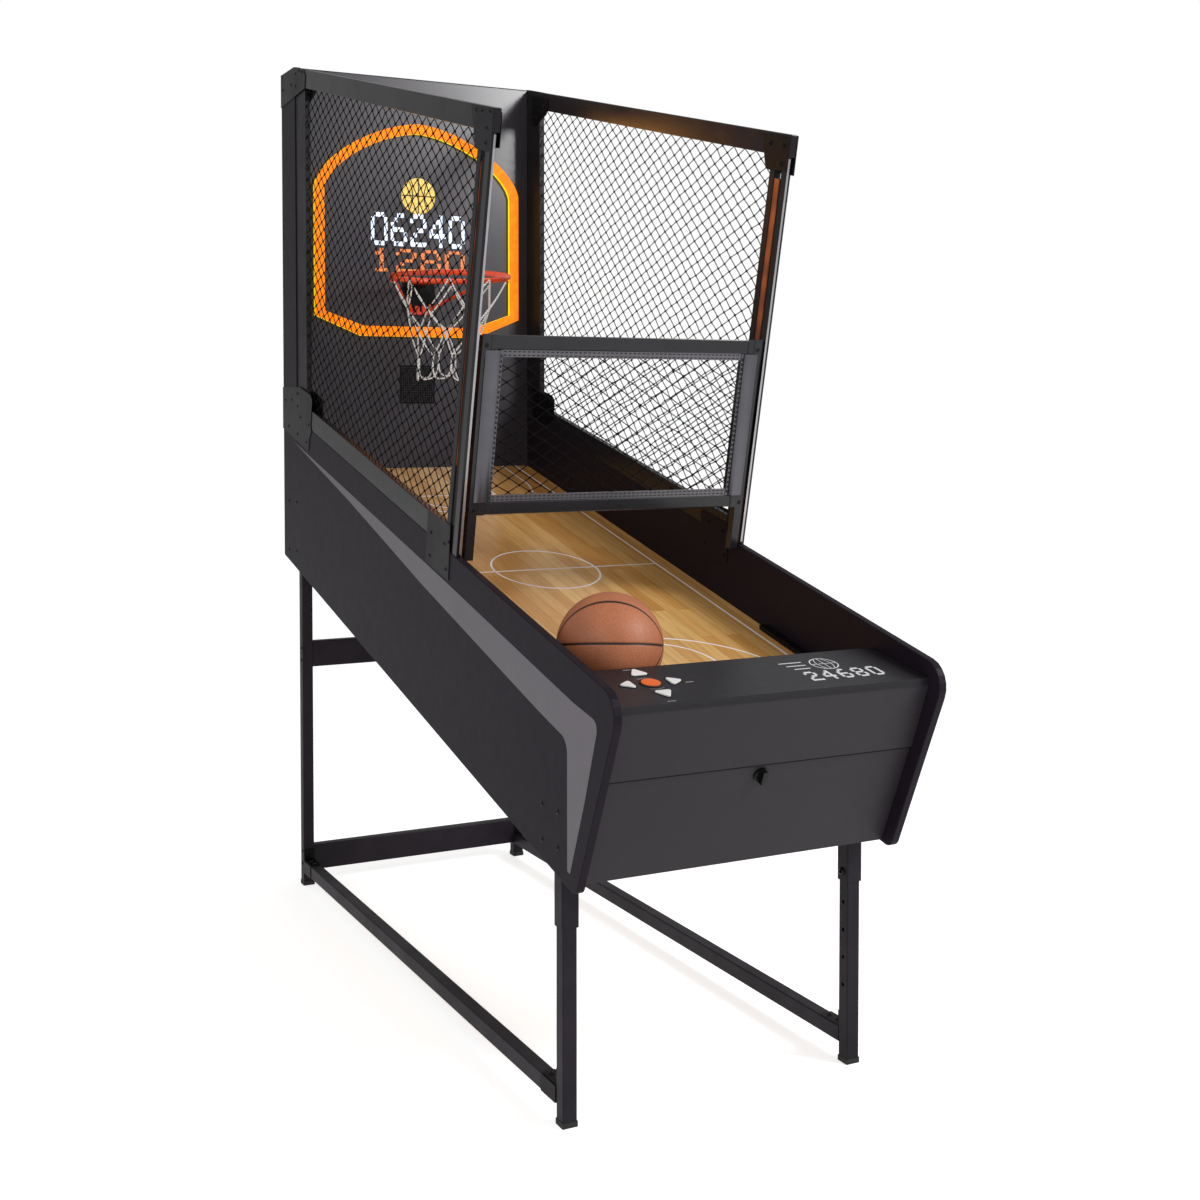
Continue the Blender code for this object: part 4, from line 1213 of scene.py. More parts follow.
@dataclass
class BackBox:
    """Back box with the backboard, its lit outline, numerals and the speaker's grille."""

    palette: Palette
    face: float = BOARD_FACE
    stand_off: float = 0.012
    digits_half: float = 0.150
    upper_digits: tuple[float, float] = (1.913, 2.012)
    lower_digits: tuple[float, float] = (1.835, 1.905)
    mark_at: tuple[float, float] = (0.0, 2.066)
    mark_radius: float = 0.054
    grille_low: tuple[float, float] = (-0.061, 1.4395)
    grille_high: tuple[float, float] = (0.051, 1.555)
    inlet_at: tuple[float, float] = (0.0, 1.075)

    def build(self) -> None:
        """Dress the boards, then add everything on the backboard and the cover's screws."""
        dress(self.palette.board, "back_box_side_left", "back_box_side_right", "back_cover")
        dress(self.palette.gloss, "backboard")
        dress(self.palette.dark, "display_module", "speaker")
        self.outline()
        self.emblem()
        self.numerals((Digit.ZERO, Digit.SIX, Digit.TWO, Digit.FOUR, Digit.ZERO), self.upper_digits,
                      self.palette.lit_white, "display_upper_numerals")
        self.numerals((Digit.ONE, Digit.TWO, Digit.EIGHT, Digit.ZERO), self.lower_digits,
                      self.palette.lit_rust, "display_lower_numerals")
        self.grille()
        self.cover_details()

    def arch(self, half: float, foot: float, shoulder: float, spring: float, crown: float,
             sole: float) -> Array:
        """Backboard outline: the top is a superellipse, cosine and sine each raised to 1.25.

        Args:
            half: Half width of the sides.
            foot: Height of the flat bottom.
            shoulder: Height where the slanted corners meet the sides.
            spring: Height where the top begins.
            crown: Height of the top.
            sole: Half width of the flat bottom.

        Returns:
            Points as rows.
        """
        t = np.linspace(0, math.pi / 2, 25)[1:]
        reach, rise = half * np.cos(t) ** 1.25, spring + (crown - spring) * np.sin(t) ** 1.25
        reach[-1] = 0.0
        right = np.array([[sole, foot], [half, shoulder], [half, spring]])
        top = np.stack([reach, rise], axis=1)
        left = np.concatenate([right, top[:-1]])[::-1] * np.array([-1.0, 1.0])
        return np.concatenate([right, top, left])

    def outline(self) -> None:
        """Raised band: an orange front on a clear core whose edges glow yellow."""
        outer = self.arch(0.326, 1.641, 1.699, 2.077, 2.280, 0.185)
        inner = self.arch(0.296, 1.671, 1.713, 2.070, 2.250, 0.177)
        front = self.face - 0.0004 - self.stand_off
        piece("outline_lit_front", band(outer, inner, Axis.Y, front, front + 0.0018), self.palette.lit_orange,
              Body.CABINET, ("led_outline",), 25.0)
        piece("outline_lit_core", band(outer, inner, Axis.Y, front + 0.0019, self.face - 0.0004),
              self.palette.lit_yellow, Body.CABINET, (), 25.0)

    def emblem(self) -> None:
        """Lit ball mark: a disc with dark channels laid over it."""
        centre, radius = np.array(self.mark_at), self.mark_radius
        angle = np.arange(64) * TAU / 64
        disc = centre + radius * np.stack([np.cos(angle), np.sin(angle)], axis=1)
        piece("display_ball_mark", prism(disc, Axis.Y, self.face - 0.0022, self.face - 0.0002),
              self.palette.lit_amber, Body.CABINET)
        t = np.linspace(-1, 1, 21)
        paths = []
        for bow in (-0.62, 0.0, 0.62):
            reach = radius * math.sqrt(1 - (bow * 0.55) ** 2)
            paths.append(np.stack([radius * bow * (0.55 + 0.45 * t ** 2) if bow else 0 * t,
                                   0 * t, reach * t * 0.97], axis=1))
        paths.append(np.stack([radius * t * 0.98, 0 * t, 0 * t], axis=1))
        path = np.stack(paths) + np.array([centre[0], self.face - 0.0023, centre[1]])
        piece("display_ball_channels", tubes(path, 0.0016, 6, (0.0, 1.0, 0.0)), self.palette.dark,
              Body.CABINET)

    def numerals(self, digits: tuple[Digit, ...], heights: tuple[float, float], material: Material,
                 name: str) -> None:
        """Numerals of small lit cells, one wherever a digit's pattern holds a 1.

        Args:
            digits: Digits, left to right.
            heights: Heights of their feet and heads.
            material: Finish.
            name: Object name.
        """
        half, (low, high) = self.digits_half, heights
        columns = len(digits) * 6 - 1
        wide, tall = 2 * half / columns, (high - low) / 7
        rows, cols = lit_cells(digits, 1)
        places = np.stack([-half + (cols + 0.5) * wide, np.full(len(rows), self.face - 0.0002),
                           high - (rows + 0.5) * tall], axis=1)
        cell = rectangle(0.50 * wide, 0.48 * tall, 0.0018, 2)
        block = prism(cell, Axis.Z, 0.0, 0.0018)
        piece(name, repeated(block, places, DIRECTIONS["-Y"]), material, Body.CABINET)

    def grille(self) -> None:
        """Square grille: a thin plate with rows of small paler eyelets, 0.3 mm proud of it."""
        low, high = self.grille_low, self.grille_high
        plate = rounded_outline([low, (high[0], low[1]), high, (low[0], high[1])], 0.004, 3)
        piece("speaker_grille", prism(plate, Axis.Y, self.face - 0.0014, self.face - 0.0002),
              self.palette.black, Body.CABINET)
        x, z = np.meshgrid(np.linspace(low[0] + 0.007, high[0] - 0.007, 15),
                           np.linspace(low[1] + 0.007, high[1] - 0.007, 15))
        places = np.stack([x.ravel(), np.full(x.size, self.face - 0.0014), z.ravel()], axis=1)
        hole = turned(np.array([[0.0024, 0.0], [0.0024, 0.0003], [0.0012, 0.0002]]), 8)
        piece("speaker_grille_holes", repeated(hole, places, DIRECTIONS["-Y"]), self.palette.front,
              Body.CABINET)

    def cover_details(self) -> None:
        """Screws round the back cover, and the pins and frame of the mains inlet."""
        z = np.linspace(1.02, 2.385, 8)
        spots = [(x, REAR_FACE, h) for x in (-0.345, 0.345) for h in z]
        spots += [(x, REAR_FACE, h) for x in (-0.17, 0.0, 0.17) for h in (1.012, 2.398)]
        bolts("back_cover_screws", spots, "+Y", 0.0045, self.palette.bolt, Body.CABINET, 0.0008)
        pins = np.array([(-0.007, 1.0737, 1.072), (0.007, 1.0737, 1.072), (0.0, 1.0737, 1.080)])
        section = np.array([(-0.001, -0.002), (0.001, -0.002), (0.001, 0.002), (-0.001, 0.002)])
        blade = prism(section, Axis.Z, 0.0, 0.006)
        piece("inlet_pins", repeated(blade, pins, DIRECTIONS["+Y"]), self.palette.silver_and_highlight, Body.CABINET)
        middle = np.array(self.inlet_at)
        outer = rectangle(0.029, 0.019, 0.004, 4) + middle
        inner = rectangle(0.0245, 0.0145, 0.002, 4) + middle
        piece("inlet_frame", band(outer, inner, Axis.Y, 1.0802, 1.0820), self.palette.dark, Body.CABINET)


@dataclass
class Hoop:
    """Rim with hooks, braces and flange, and the rope net under it."""

    palette: Palette
    centre: tuple[float, float, float] = (0.0, 0.680, 1.804)
    radius: float = 0.167
    tube: float = 0.008
    loops: int = 8
    rope: float = 0.0023
    rope_sides: int = 7
    brace: float = 0.0045
    brace_turn: float = 62.0
    brace_foot: tuple[float, float] = (0.026, 1.722)
    hook: float = 0.0045
    hook_wire: float = 0.0014
    ring_heights: tuple[float, ...] = (1.789, 1.712, 1.640, 1.576)
    ring_radii: tuple[float, ...] = (0.160, 0.126, 0.100, 0.080)
    ring_drift: tuple[float, ...] = (0.0, -0.006, -0.012, -0.018)

    def build(self) -> None:
        """Rim, net, bracket finish."""
        dress(self.palette.black, "rim_bracket")
        self.rim()
        self.net()

    def rim(self) -> None:
        """Ring, two braces, a neck, a toothed foot, and a hook under the ring for every loop."""
        x, y, z = self.centre
        angle = np.arange(96) * TAU / 96
        ring = np.stack([x + self.radius * np.cos(angle), y + self.radius * np.sin(angle),
                         np.full(96, z)], axis=1)
        parts = [tubes(ring, self.tube, 16, (0.0, 0.0, 1.0), True)]
        back = y + self.radius
        face = BOARD_FACE - 0.0050
        for side in (-1, 1):
            turn = math.radians(self.brace_turn)
            start = np.array([side * self.radius * math.sin(turn), y + self.radius * math.cos(turn), z])
            end = np.array([side * self.brace_foot[0], face - 0.006, self.brace_foot[1]])
            t = np.linspace(0, 1, 5)[:, None]
            parts.append(tubes(start * (1 - t) + end * t, self.brace, 10, (1.0, 0.3, 0.0)))
        neck = rounded_outline([(-0.026, z - 0.006), (0.026, z - 0.006), (0.026, z + 0.005),
                                (-0.026, z + 0.005)], 0.002, 3)
        parts.append(prism(neck, Axis.Y, back, face))
        comb = np.array([(-0.037, 1.708), (0.037, 1.708), (0.037, 1.740), (0.029, 1.740), (0.029, 1.717),
                         (0.020, 1.717), (0.020, 1.734), (0.006, 1.734), (0.006, 1.717), (-0.002, 1.717),
                         (-0.002, 1.734), (-0.016, 1.734), (-0.016, 1.717), (-0.029, 1.717), (-0.029, 1.740),
                         (-0.037, 1.740)])
        parts.append(prism(comb, Axis.Y, face - 0.0106, face))
        hooks = (np.arange(self.loops) + 0.5) * TAU / self.loops
        t = np.linspace(0.0, 1.5 * math.pi, 12)
        outward = np.stack([np.cos(hooks), np.sin(hooks), np.zeros(self.loops)], axis=1)
        local_r, local_z = self.hook * np.cos(t), self.hook * np.sin(-t)
        root = np.array([x, y, z - self.tube - 0.003]) + outward * (self.radius - 0.001)
        path = (root[:, None] + outward[:, None] * local_r[None, :, None]
                + np.array([0, 0, 1.0]) * local_z[None, :, None])
        parts.append(tubes(path, self.hook_wire, 6, (0.31, 0.17, 0.93)))
        piece("rim_with_hooks", merged(*parts), self.palette.rim, Body.CABINET, ("rim",))
        spots = [(x_at, face + 0.0004, z_at) for x_at in (-0.042, 0.042) for z_at in (1.750, 1.800)]
        bolts("rim_bracket_bolts", spots, "-Y", 0.0045, self.palette.bolt, Body.CABINET,
              0.003)

    def net(self) -> None:
        """Rope diamonds: strands run between rings of knots that narrow downwards and drift to the left.

        Ring k has its knots half a step round from ring k - 1; a strand is the straight line
        between two knots plus a small sag. Below the last ring a loop hangs from each knot to the
        next: it swings across as a flattened cosine and falls as a power of the sine.
        """
        heights, radii, drift = map(np.array, (self.ring_heights, self.ring_radii, self.ring_drift))
        shift = np.array([0.5, 0.0, 0.5, 0.0])
        rows = len(heights)
        loose = np.arange(rows)[:, None] > 0
        rng = np.random.default_rng(7)
        step = np.arange(self.loops)
        angle = (step[None] + shift[:, None]) * TAU / self.loops
        angle = angle + rng.normal(0.0, 0.07, angle.shape) * loose
        knot = np.stack([self.centre[0] + drift[:, None] + radii[:, None] * np.cos(angle),
                         self.centre[1] + radii[:, None] * np.sin(angle),
                         heights[:, None] + rng.normal(0.0, 0.006, angle.shape) * loose], axis=-1)
        starts, ends = [], []
        for k in range(rows - 1):
            turn = 1 if shift[k] > 0 else -1
            starts += [knot[k], knot[k]]
            ends += [knot[k + 1], np.roll(knot[k + 1], -turn, axis=0)]
        start, end = np.concatenate(starts), np.concatenate(ends)
        t = np.linspace(0, 1, 9)[None, :, None]
        sag = np.sin(math.pi * t) * (0.004 + 0.003 * rng.random((len(start), 1, 1)))
        path = start[:, None] * (1 - t) + end[:, None] * t + sag * np.array([0.0, 0.0, -0.6])
        shape = tubes(path, self.rope, self.rope_sides, (0.13, 0.21, 0.05))
        uv = self.rope_uv(len(start), 9, 0.07)
        s = np.linspace(0, 1, 17)[None, :, None]
        first, second = knot[-1][:, None], np.roll(knot[-1], -1, axis=0)[:, None]
        swing = 0.5 - 0.5 * np.sign(np.cos(math.pi * s)) * np.abs(np.cos(math.pi * s)) ** 0.7
        fall = (0.062 + 0.008 * rng.random((self.loops, 1, 1))) * np.sin(math.pi * s) ** 0.55
        hanging = first * (1 - swing) + second * swing + fall * np.array([-0.06, 0.0, -1.0])
        shape = merged(shape, tubes(hanging, self.rope, self.rope_sides, (0.13, 0.21, 0.05)))
        uv = np.concatenate([uv, self.rope_uv(self.loops, 17, 0.18)])
        lumps = turned(np.array([[0.0010, -0.0030], [0.0026, -0.0015], [0.0030, 0.0], [0.0026, 0.0015],
                                 [0.0010, 0.0030]]), 8)
        knots = repeated(lumps, knot[1:].reshape(-1, 3), DIRECTIONS["+Z"])
        whole = merged(shape, knots)
        uv = np.concatenate([uv, np.zeros((len(knots[0]), 2))])
        piece("hoop_rope_net", whole, self.palette.rope, Body.CABINET, ("hoop_net",), 60.0, uv)

    def rope_uv(self, strands: int, points: int, length: float) -> Array:
        """Coordinates of many equal strands: round the rope by its sides, along it in metres.

        Args:
            strands: How many.
            points: Points along each.
            length: Length of each.

        Returns:
            One pair for each vertex.
        """
        one = np.meshgrid(np.arange(self.rope_sides) / self.rope_sides, np.linspace(0, length, points))
        return np.tile(np.stack(one, axis=-1).reshape(-1, 2), (strands, 1))


@dataclass
class Netting:
    """Knotted diamond net stretched in a plane and cut to a convex outline."""

    origin: Array
    east: Array
    north: Array
    normal: Array
    wide: float = 0.0529
    tall: float = 0.0335
    cord: float = 0.0012
    knot: float = 0.0033
    seed: int = 3

    def build(self, outline: Array) -> Mesh:
        """Make the net.

        Knot (i, j) stands at i plus j half-widths along and i less j half-heights up, moved a
        little at random; cords join each knot to the next along both diagonals and are cut
        where they cross the outline.

        Args:
            outline: Corners in the net's own two coordinates, anticlockwise.

        Returns:
            Cords and knots as one mesh.
        """
        span = int(3.2 / min(self.wide, self.tall))
        reach = range(-span // 2, span // 2)
        i, j = np.meshgrid(np.array(reach), np.array(reach), indexing="ij")
        rng = np.random.default_rng(self.seed)
        flat = np.stack([(i + j) * self.wide / 2, (i - j) * self.tall / 2], axis=-1)
        flat = flat + rng.normal(0.0, 0.0011, flat.shape)
        starts = np.concatenate([flat[:-1].reshape(-1, 2), flat[:, :-1].reshape(-1, 2)])
        ends = np.concatenate([flat[1:].reshape(-1, 2), flat[:, 1:].reshape(-1, 2)])
        low, high, keep = self.clip(starts, ends, outline)
        along = ends - starts
        first, last = (starts + along * low[:, None])[keep], (starts + along * high[:, None])[keep]
        path = np.stack([self.lift(first), self.lift(last)], axis=1)
        cords = self.straight(path)
        inside = self.inside(flat.reshape(-1, 2), outline)
        lump = turned(np.array([[0.3, -1.0], [0.9, -0.45], [0.9, 0.45], [0.3, 1.0]]) * self.knot, 6)
        basis = np.stack([self.east, self.normal, self.north * 0.85])
        return merged(cords, repeated(lump, self.lift(flat.reshape(-1, 2)[inside]), basis))

    def lift(self, flat: Array) -> Array:
        """Net coordinates to the world: origin plus east and north by the two values."""
        return self.origin + flat[..., :1] * self.east + flat[..., 1:] * self.north

    def straight(self, path: Array) -> Mesh:
        """Five-sided cords along straight pieces.

        Args:
            path: First and last point of each.

        Returns:
            Vertices and faces.
        """
        tangent = path[:, 1] - path[:, 0]
        tangent /= np.linalg.norm(tangent, axis=1, keepdims=True) + 1e-12
        across = np.repeat(np.cross(tangent, self.normal)[:, None], 2, axis=1)
        up = np.broadcast_to(self.normal, path.shape)
        return carry(circle(self.cord, 5), path, across, up)

    def inside(self, points: Array, outline: Array) -> Array:
        """Whether points lie inside an outline, left of every side.

        Args:
            points: Points as rows.
            outline: Anticlockwise corners.

        Returns:
            One truth value for each.
        """
        side = np.roll(outline, -1, axis=0) - outline
        away = points[:, None] - outline[None]
        return ((side[None, :, 0] * away[..., 1] - side[None, :, 1] * away[..., 0]) > 0.001).all(axis=1)

    def clip(self, starts: Array, ends: Array,
             outline: Array) -> tuple[Array, Array, Array]:
        """Part of each piece inside the outline, by cutting with one side after another.

        Args:
            starts: First points.
            ends: Last points.
            outline: Anticlockwise corners.

        Returns:
            Low and high fraction of each piece, and which pieces remain.
        """
        low, high = np.zeros(len(starts)), np.ones(len(starts))
        for corner, nxt in zip(outline, np.roll(outline, -1, axis=0)):
            side = nxt - corner
            a = side[0] * (starts[:, 1] - corner[1]) - side[1] * (starts[:, 0] - corner[0])
            b = side[0] * (ends[:, 1] - corner[1]) - side[1] * (ends[:, 0] - corner[0])
            cross = np.where(np.abs(a - b) > 1e-12, a / (a - b + 1e-15), 0.0)
            low = np.where((a < 0) & (b >= 0), np.maximum(low, cross), low)
            high = np.where((a >= 0) & (b < 0), np.minimum(high, cross), high)
            high = np.where((a < 0) & (b < 0), -1.0, high)
        return low, high, high - low > 0.02


@dataclass
class Cage:
    """Side frames: rails, posts, plates with bolts, lit strips and side nets."""

    palette: Palette
    slope: float = 0.2435
    net_x: float = 0.3707
    housing_x: tuple[float, float] = (0.3668, 0.3775)
    lens_x: tuple[float, float] = (0.3640, 0.3667)
    seam_x: tuple[float, float] = (0.3774, 0.3780)
    highlight_x: tuple[float, float] = (0.3671, 0.3722)
    plate_x: tuple[float, float] = (PANEL_IN - 0.0018, PANEL_IN - 0.0003)

    def build(self) -> None:
        """Dress the frame, then add plates, bolts and nets on both sides."""
        for word, side in SIDES:
            dress(self.palette.rail, f"cage_top_rail_{word}", f"cage_lower_rail_{word}")
            dress(self.palette.plate, f"cage_rear_post_{word}", f"cage_front_post_{word}")
            dress(self.palette.upright, f"upright_{word}")
            self.strip(word, side)
            self.bolts(word, side)
            self.inner_plates(word, side)
            self.net(word, side)

    def outline_of(self, name: str) -> Array:
        """Outline of a flat node: its points in order of angle about their middle.

        Args:
            name: Name of the node.

        Returns:
            Y and Z of each point.
        """
        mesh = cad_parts[name].data
        points = np.zeros(len(mesh.vertices) * 3)
        mesh.vertices.foreach_get("co", points)
        points = np.unique(points.reshape(-1, 3)[:, 1:].round(4), axis=0)
        away = points - points.mean(axis=0)
        tilt = math.atan(self.slope)
        across = away[:, 0] * math.cos(tilt) + away[:, 1] * math.sin(tilt)
        return points[np.argsort(np.arctan2(away[:, 1], across))]

    def lean(self, z: float, depth: float) -> tuple[float, float]:
        """Point on the leaning upright at a height and a depth behind its face."""
        return (-0.4966 - 0.2277 * (z - 1.908) + depth, z)

    def strip(self, word: str, side: int) -> None:
        """Strip as a dark housing with a smoked lens on its inner side, and a bright strip on the upright's
        front edge that paints its highlight.

        Args:
            word: Side's name.
            side: -1 for left, 1 for right.
        """
        outline = self.outline_of(f"light_strip_{word}")
        piece(f"strip_housing_{word}", side_sheet(outline, side, *self.housing_x), self.palette.black,
              Body.CABINET, (f"light_strip_{word}",))
        piece(f"strip_lens_{word}", side_sheet(outline, side, *self.lens_x), self.palette.lit_strip,
              Body.CABINET)
        seam = np.array([self.lean(1.300, 0.0432), self.lean(1.300, 0.0456), self.lean(1.955, 0.0456),
                         self.lean(1.955, 0.0432)])
        piece(f"strip_seam_{word}", side_sheet(seam, side, *self.seam_x), self.palette.lit_strip,
              Body.CABINET)
        # painted highlight: a bright metal strip along half of the upright's front face stands for the
        # highlight on its edge
        highlight_outline = np.array([self.lean(1.101, -0.0007), self.lean(1.101, -0.0001), self.lean(2.003, -0.0001),
                        self.lean(2.003, -0.0007)])[::-1]
        piece(f"upright_face_{word}", side_sheet(highlight_outline, side, *self.highlight_x), self.palette.silver_and_highlight,
              Body.CABINET)

    def bolts(self, word: str, side: int) -> None:
        """Bolt heads on the four corner plates.

        Args:
            word: Side's name.
            side: -1 for left, 1 for right.
        """
        upper_rear = [(0.926, 2.396), (0.890, 2.397), (0.860, 2.388), (0.973, 2.372), (0.926, 2.360),
                      (1.058, 2.371)]
        lower_rear = [(0.927, 1.468), (1.054, 1.450), (0.988, 1.450), (0.927, 1.431), (0.898, 1.399),
                      (1.018, 1.372), (0.816, 1.378), (0.929, 1.350), (0.839, 1.327)]
        lower_front = [(-0.162, 1.139), (-0.247, 1.119), (-0.275, 1.125), (-0.153, 1.085), (-0.255, 1.062)]
        upper_front = [(-0.443, 2.067), (-0.477, 2.059), (-0.520, 2.050), (-0.499, 2.019), (-0.493, 1.988)]
        spots = upper_rear + lower_rear + lower_front + upper_front
        bolts(f"plate_bolts_{word}", both(spots, PLATE_OUT, side), outward(side), 0.0056,
              self.palette.bolt, Body.CABINET)

    def inner_plates(self, word: str, side: int) -> None:
        """Corner plates on the inner faces with their bolts; the one by the court matches the boards.

        Args:
            word: Side's name.
            side: -1 for left, 1 for right.
        """
        outlines = {
            "upper_front": ([(-0.418, 2.078), (-0.536, 2.048), (-0.521, 1.975), (-0.430, 1.990)],
                            [0.004, 0.004, 0.004, 0.028]),
            "lower_front": ([(-0.135, 1.172), (-0.262, 1.142), (-0.262, 1.040), (-0.135, 1.070)],
                            [0.010, 0.004, 0.012, 0.012]),
            "lower_rear": ([(0.900, 1.488), (0.812, 1.470), (0.738, 1.448), (0.744, 1.392), (0.800, 1.372),
                            (0.900, 1.392)], [0.004, 0.02, 0.02, 0.02, 0.02, 0.004]),
            "upper_rear": ([(0.900, 2.392), (0.780, 2.362), (0.790, 2.318), (0.900, 2.290)],
                           [0.004, 0.008, 0.02, 0.02]),
        }
        parts = []
        for key, (points, radii) in outlines.items():
            plate = side_sheet(rounded_outline(points, radii, 5), side, *self.plate_x)
            if key == "lower_front":
                piece(f"inner_plate_low_{word}", plate, self.palette.board, Body.CABINET)
            else:
                parts.append(plate)
        piece(f"inner_plates_{word}", merged(*parts), self.palette.black, Body.CABINET)
        lower_front = [(-0.174, 1.142), (-0.240, 1.122), (-0.152, 1.087), (-0.245, 1.063)]
        upper_front = [(-0.450, 2.050), (-0.505, 2.035), (-0.495, 1.995)]
        lower_rear = [(0.770, 1.440), (0.840, 1.455), (0.780, 1.400), (0.860, 1.410)]
        upper_rear = [(0.815, 2.345), (0.870, 2.360), (0.870, 2.320)]
        spots = lower_front + upper_front + lower_rear + upper_rear
        bolts(f"inner_plate_bolts_{word}", both(spots, self.plate_x[0], side), outward(-side), 0.0060,
              self.palette.bolt, Body.CABINET, 0.003)

    def net(self, word: str, side: int) -> None:
        """Side net whose diamonds lie along the slope of the rails.

        Args:
            word: Side's name.
            side: -1 for left, 1 for right.
        """
        points = self.outline_of(f"side_net_{word}")
        tilt = math.atan(self.slope)
        east = np.array([0.0, math.cos(tilt), math.sin(tilt)])
        north = np.array([0.0, -math.sin(tilt), math.cos(tilt)])
        origin = np.array([side * self.net_x, 0.2, 1.7])
        flat = np.stack([(points - origin[1:]) @ east[1:], (points - origin[1:]) @ north[1:]], axis=1)
        middle = flat.mean(axis=0)
        order = np.argsort(np.arctan2(flat[:, 1] - middle[1], flat[:, 0] - middle[0]))
        net = Netting(origin, east, north, np.array([float(side), 0.0, 0.0]), seed=5 + side)
        piece(f"side_netting_{word}", net.build(flat[order]), self.palette.cord, Body.CABINET,
              (f"side_net_{word}",), 60.0)


